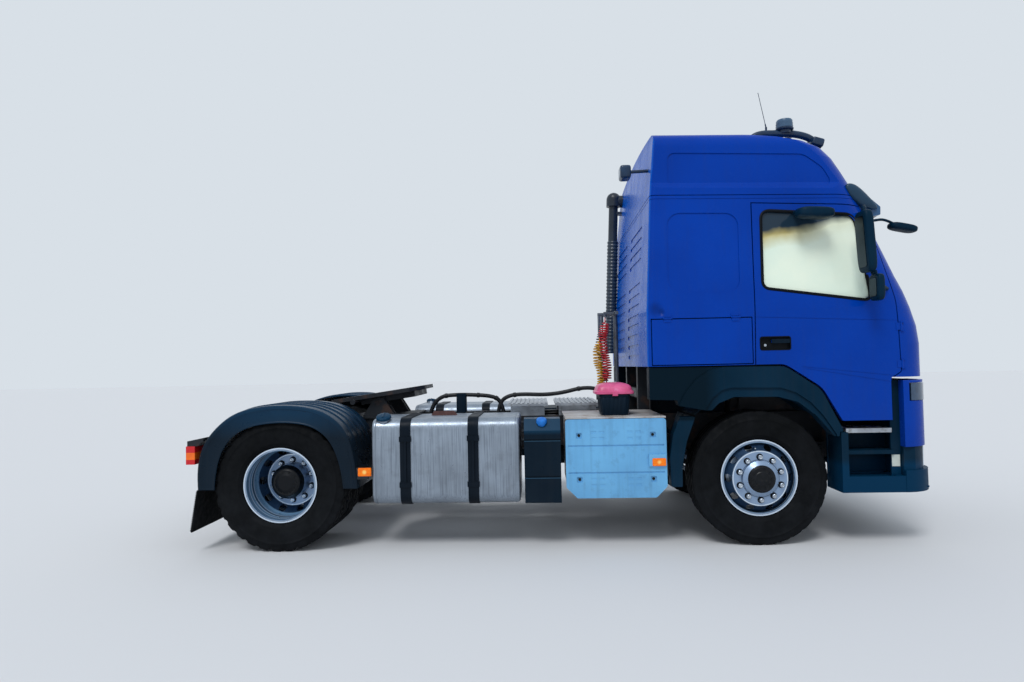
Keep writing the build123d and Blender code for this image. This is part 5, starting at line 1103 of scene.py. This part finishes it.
# Intake: corrugated hose below the plain pipe
intake_lean = math.radians(2.6)
hose = turned((cab_rear - 0.062, 0.9, 1.56), (math.sin(intake_lean), 0, math.cos(intake_lean)), [
    (radius, 0.038 * ridge + place) for ridge in range(33) for radius, place in (
        (0.0545, 0), (0.0585, 0.006), (0.06, 0.013), (0.0585, 0.02), (0.0545, 0.027))], 32)
mesh_piece("intake_hose", [hose], "hose_grey", "cab")


def pod(middle, half, upright=0.3, flat=0.3, rows=22, lean=0.0):
    """Rounded housing: its half sizes, how square it is upright and in plan, and its lean."""
    around = 40
    points = []
    for row in range(rows + 1):
        v = math.pi * (row / rows - 0.5)
        for place in range(around):
            u = 2 * math.pi * place / around
            cv, sv, cu, su = math.cos(v), math.sin(v), math.cos(u), math.sin(u)
            ring = abs(cv) ** upright
            x = half[0] * ring * math.copysign(abs(cu) ** flat, cu)
            y = half[1] * ring * math.copysign(abs(su) ** flat, su)
            z = half[2] * math.copysign(abs(sv) ** upright, sv)
            points.append((middle[0] + x * math.cos(lean) + z * math.sin(lean), middle[1] + y,
                           middle[2] - x * math.sin(lean) + z * math.cos(lean)))
    return capped(points, around)


# Roof: hoops, beacon, aerial, front lamps and the work lamp on the rear corner
hoop_y = 0.6
aerial_lean = math.radians(11)
roof = []
for y in (hoop_y, -hoop_y):
    roof += [bent_tube([(front_axle + x, y, z) for x, z in (
        (0.15, 3.33), (0.19, 3.4), (0.27, 3.442), (0.41, 3.44), (0.56, 3.436), (0.7, 3.398),
        (0.76, 3.33), (0.772, 3.24))], 0.031, 20),
        pod((front_axle + 0.748, y, 3.336), (0.054, 0.086, 0.038), 0.35, 0.3, lean=0.3)]
roof += [tube([(front_axle + x, y, z) for y in (-hoop_y, -0.2, 0.2, hoop_y)], 0.023, 18)
         for x, z in ((0.56, 3.434), (0.262, 3.432))]
roof += [
    turned((front_axle + 0.489, -hoop_y, 0), (0, 0, 1), [
        (0.052, 3.436), (0.052, 3.462), (0.074, 3.466), (0.077, 3.476), (0.071, 3.482), (0.0725, 3.5),
        (0.069, 3.503), (0.0715, 3.522), (0.067, 3.525), (0.069, 3.544), (0.062, 3.556), (0.034, 3.564),
        (0.001, 3.566)], 40),
    turned((front_axle + 0.33, -hoop_y, 0), (0, 0, 1), [
        (0.022, 3.44), (0.02, 3.452), (0.009, 3.462), (0.009, 3.5)], 20),
    turned((front_axle + 0.33, -hoop_y, 3.495), (-math.sin(aerial_lean), 0, math.cos(aerial_lean)), [
        (0.0055, 0.0), (0.0055, 0.03), (0.0028, 0.04), (0.0024, 0.312), (0.0034, 0.314),
        (0.0034, 0.3185)], 12),
    pod((cab_rear - 0.103, -0.94, 3.033), (0.046, 0.078, 0.056), 0.4, 0.35),
    tube([(cab_rear + x, -0.945, z) for x, z in ((-0.075, 3.04), (0.02, 3.043), (0.11, 3.045))],
         0.014, 14)]
mesh_piece("roof_fittings", roof, "bar_dark", "cab", of="roof_bar", sharp=0.7)

# Mirrors: rounded housings on bent arms
for word, side in both_sides:
    shapes = [pod((front_axle + 0.7585, side * 1.4085, 2.324), (0.036, 0.0965, 0.232), 0.34, 0.42,
                  rows=30, lean=math.radians(-3)),
              pod((front_axle + 0.839, side * 1.391, 1.98), (0.029, 0.079, 0.1), 0.42, 0.45)]
    for radius, route in (
            (0.017, [(1.0, 1.212, 1.985), (0.94, 1.29, 1.985), (0.85, 1.345, 2.06),
                     (0.82, 1.35, 2.13)]),
            (0.015, [(0.88, 1.13, 2.61), (0.84, 1.23, 2.622), (0.768, 1.38, 2.6),
                     (0.764, 1.39, 2.52)]),
            (0.016, [(0.842, 1.37, 1.96), (0.842, 1.371, 2.03), (0.838, 1.37, 2.11)])):
        shapes.append(bent_tube([(front_axle + x, side * y, z) for x, y, z in route], radius, 16))
    if side < 0:
        shapes += [pod((front_axle + 0.4275, -1.3175, 2.571), (0.1375, 0.0825, 0.041), 0.55, 0.55, lean=0.05),
                   pod((front_axle + 0.395, -1.215, 2.608), (0.075, 0.075, 0.018), 0.4, 0.3)]
    mesh_piece(f"mirror_housings_{word}", shapes, "trim_grey", "cab", of=f"mirrors_{word}", sharp=0.8)
shapes = [pod((front_axle + 1.275, -0.96, 2.508), (0.11, 0.065, 0.031), 0.6, 0.6, lean=math.radians(12)),
          bent_tube([(front_axle + 0.868, -1.058, 2.532), (front_axle + 1.01, -1.03, 2.56),
                     (front_axle + 1.14, -0.975, 2.58), (front_axle + 1.24, -0.96, 2.52)], 0.011, 14)]
mesh_piece("front_mirror_housing", shapes, "trim_grey", "cab", of="front_mirror")

# Shields at the ends of the visor, wrapped on the cab's front corners
shield_x, shield_z = front_axle + 0.87, 2.768
shield_line = [(front_axle + x, 0, z) for x, z in (
    (0.764, 2.806), (0.762, 2.838), (0.801, 2.851), (0.85, 2.838), (0.912, 2.792), (0.978, 2.73),
    (1.046, 2.664), (1.02, 2.642), (0.912, 2.666), (0.858, 2.69), (0.816, 2.722), (0.782, 2.764))]
wrap_start, wrap_length = 0.785, 0.245
visor_end_y = 1.046
skin = surface("cab_shell", "cab_roof")
shapes = []
for side in (1, -1):
    edge = middle_line(shield_line + shield_line[:1])[:-1]
    inboard = drop(skin, (front_axle + wrap_start, side * 1.5, 2.79), (0, -side, 0),
                   Vector((0, side * 1.09, 0)))
    outer = abs(inboard[1])
    rings = []
    for share, lift in ((1.0, -0.02), (1.0, 0.004), (0.97, 0.01), (0.88, 0.018), (0.7, 0.025),
                        (0.45, 0.03), (0.18, 0.032)):
        ring = []
        for x, _, z in edge:
            x = shield_x + share * (x - shield_x)
            forward = (x - front_axle - wrap_start) / wrap_length
            ring.append((x, side * (outer + (visor_end_y - outer) * forward + lift),
                         shield_z + share * (z - shield_z)))
        rings.append(ring)
    shapes.append(lofted(rings))
mesh_piece("visor_shields", shapes, "shield_dark", "cab", sharp=0.8)


def pane_piece(name, node, middle, half, side):
    """Silvered pane with a thin edge, dropped on the rear face of a mirror housing."""
    tree = surface(node)
    (y, z), (width, height) = middle, half
    loop = rectangle(side * (y - width), side * (y + width), z - height, z + height, 0.022, 6)
    hits = [drop(tree, (front_axle, a, b), (1, 0, 0)) for a, b in loop]
    nearest = min(hit.x for hit in hits if hit is not None)
    faces_x = [(hit.x if hit is not None else nearest) for hit in hits]
    points = [(x + lift, a, b) for lift in (0.002, -0.0025) for x, (a, b) in zip(faces_x, loop)]
    mesh_piece(name, [capped(points, len(loop))], "mirror_pane", "cab", smooth=False)


for word, side in both_sides:
    pane_piece(f"main_mirror_pane_{word}", f"mirrors_{word}", (1.4085, 2.32), (0.062, 0.19), side)
    pane_piece(f"wide_mirror_pane_{word}", f"mirrors_{word}", (1.391, 1.98), (0.05, 0.068), side)

# Wipers, laid on the screen
screen_tree = surface("cab_shell", "windscreen")


def on_screen(y, z, lift):
    """Point in front of the screen or of the panel under it."""
    return Vector((drop(screen_tree, (3.4, y, z), (-1, 0, 0)).x + lift, y, z))


wipers, blades = [], []
for pivot in (-0.64, 0.1):
    blade = [on_screen(pivot + 0.06 + 0.055 * step, 1.664 + 0.0022 * step, 0.017) for step in range(12)]
    blades.append(tube(blade, 0.006, 8))
    spine = [point + Vector((0.011, 0, 0)) for point in blade[1:-1]]
    arm = [on_screen(pivot, 1.592, 0.012), on_screen(pivot + 0.02, 1.612, 0.034),
           on_screen(pivot + 0.17, 1.65, 0.036), spine[5] + Vector((0.004, 0, 0))]
    wipers += [tube(spine, 0.005, 8), tube(arm, 0.008, 8),
               turned(on_screen(pivot, 1.592, -0.004), (1, 0, 0.2), [
                   (0.02, 0), (0.02, 0.018), (0.012, 0.024), (0.001, 0.025)], 16)]
mesh_piece("wiper_arms", wipers, "hub_black", "cab")
mesh_piece("wiper_blades", blades, "seal_black", "cab")


def add_floor():
    """Plain pale floor."""
    mesh = bpy.data.meshes.new("floor")
    reach = 60
    mesh.from_pydata([(-reach, -reach, 0), (reach, -reach, 0), (reach, reach, 0), (-reach, reach, 0)],
                     [], [(0, 1, 2, 3)])
    floor = bpy.data.objects.new("floor", mesh)
    bpy.context.scene.collection.objects.link(floor)
    material = bpy.data.materials.new("floor_pale")
    material.use_nodes = True
    feed(material.node_tree, material.node_tree.nodes["Principled BSDF"],
         Base_Color=(0.62, 0.63, 0.65, 1), Roughness=0.9)
    floor.data.materials.append(material)


def add_light():
    """Soft world light and one broad lamp."""
    world = bpy.data.worlds.new("world")
    world.use_nodes = True
    feed(world.node_tree, world.node_tree.nodes["Background"], Color=(0.86, 0.93, 1, 1), Strength=0.8)
    bpy.context.scene.world = world
    data = bpy.data.lights.new("sun", "SUN")
    data.energy = 1.5
    data.angle = 0.35
    sun = bpy.data.objects.new("sun", data)
    sun.rotation_euler = (math.radians(38), 0, math.radians(-20))
    bpy.context.scene.collection.objects.link(sun)


add_floor()
add_light()
bpy.context.scene.view_settings.view_transform = "Standard"
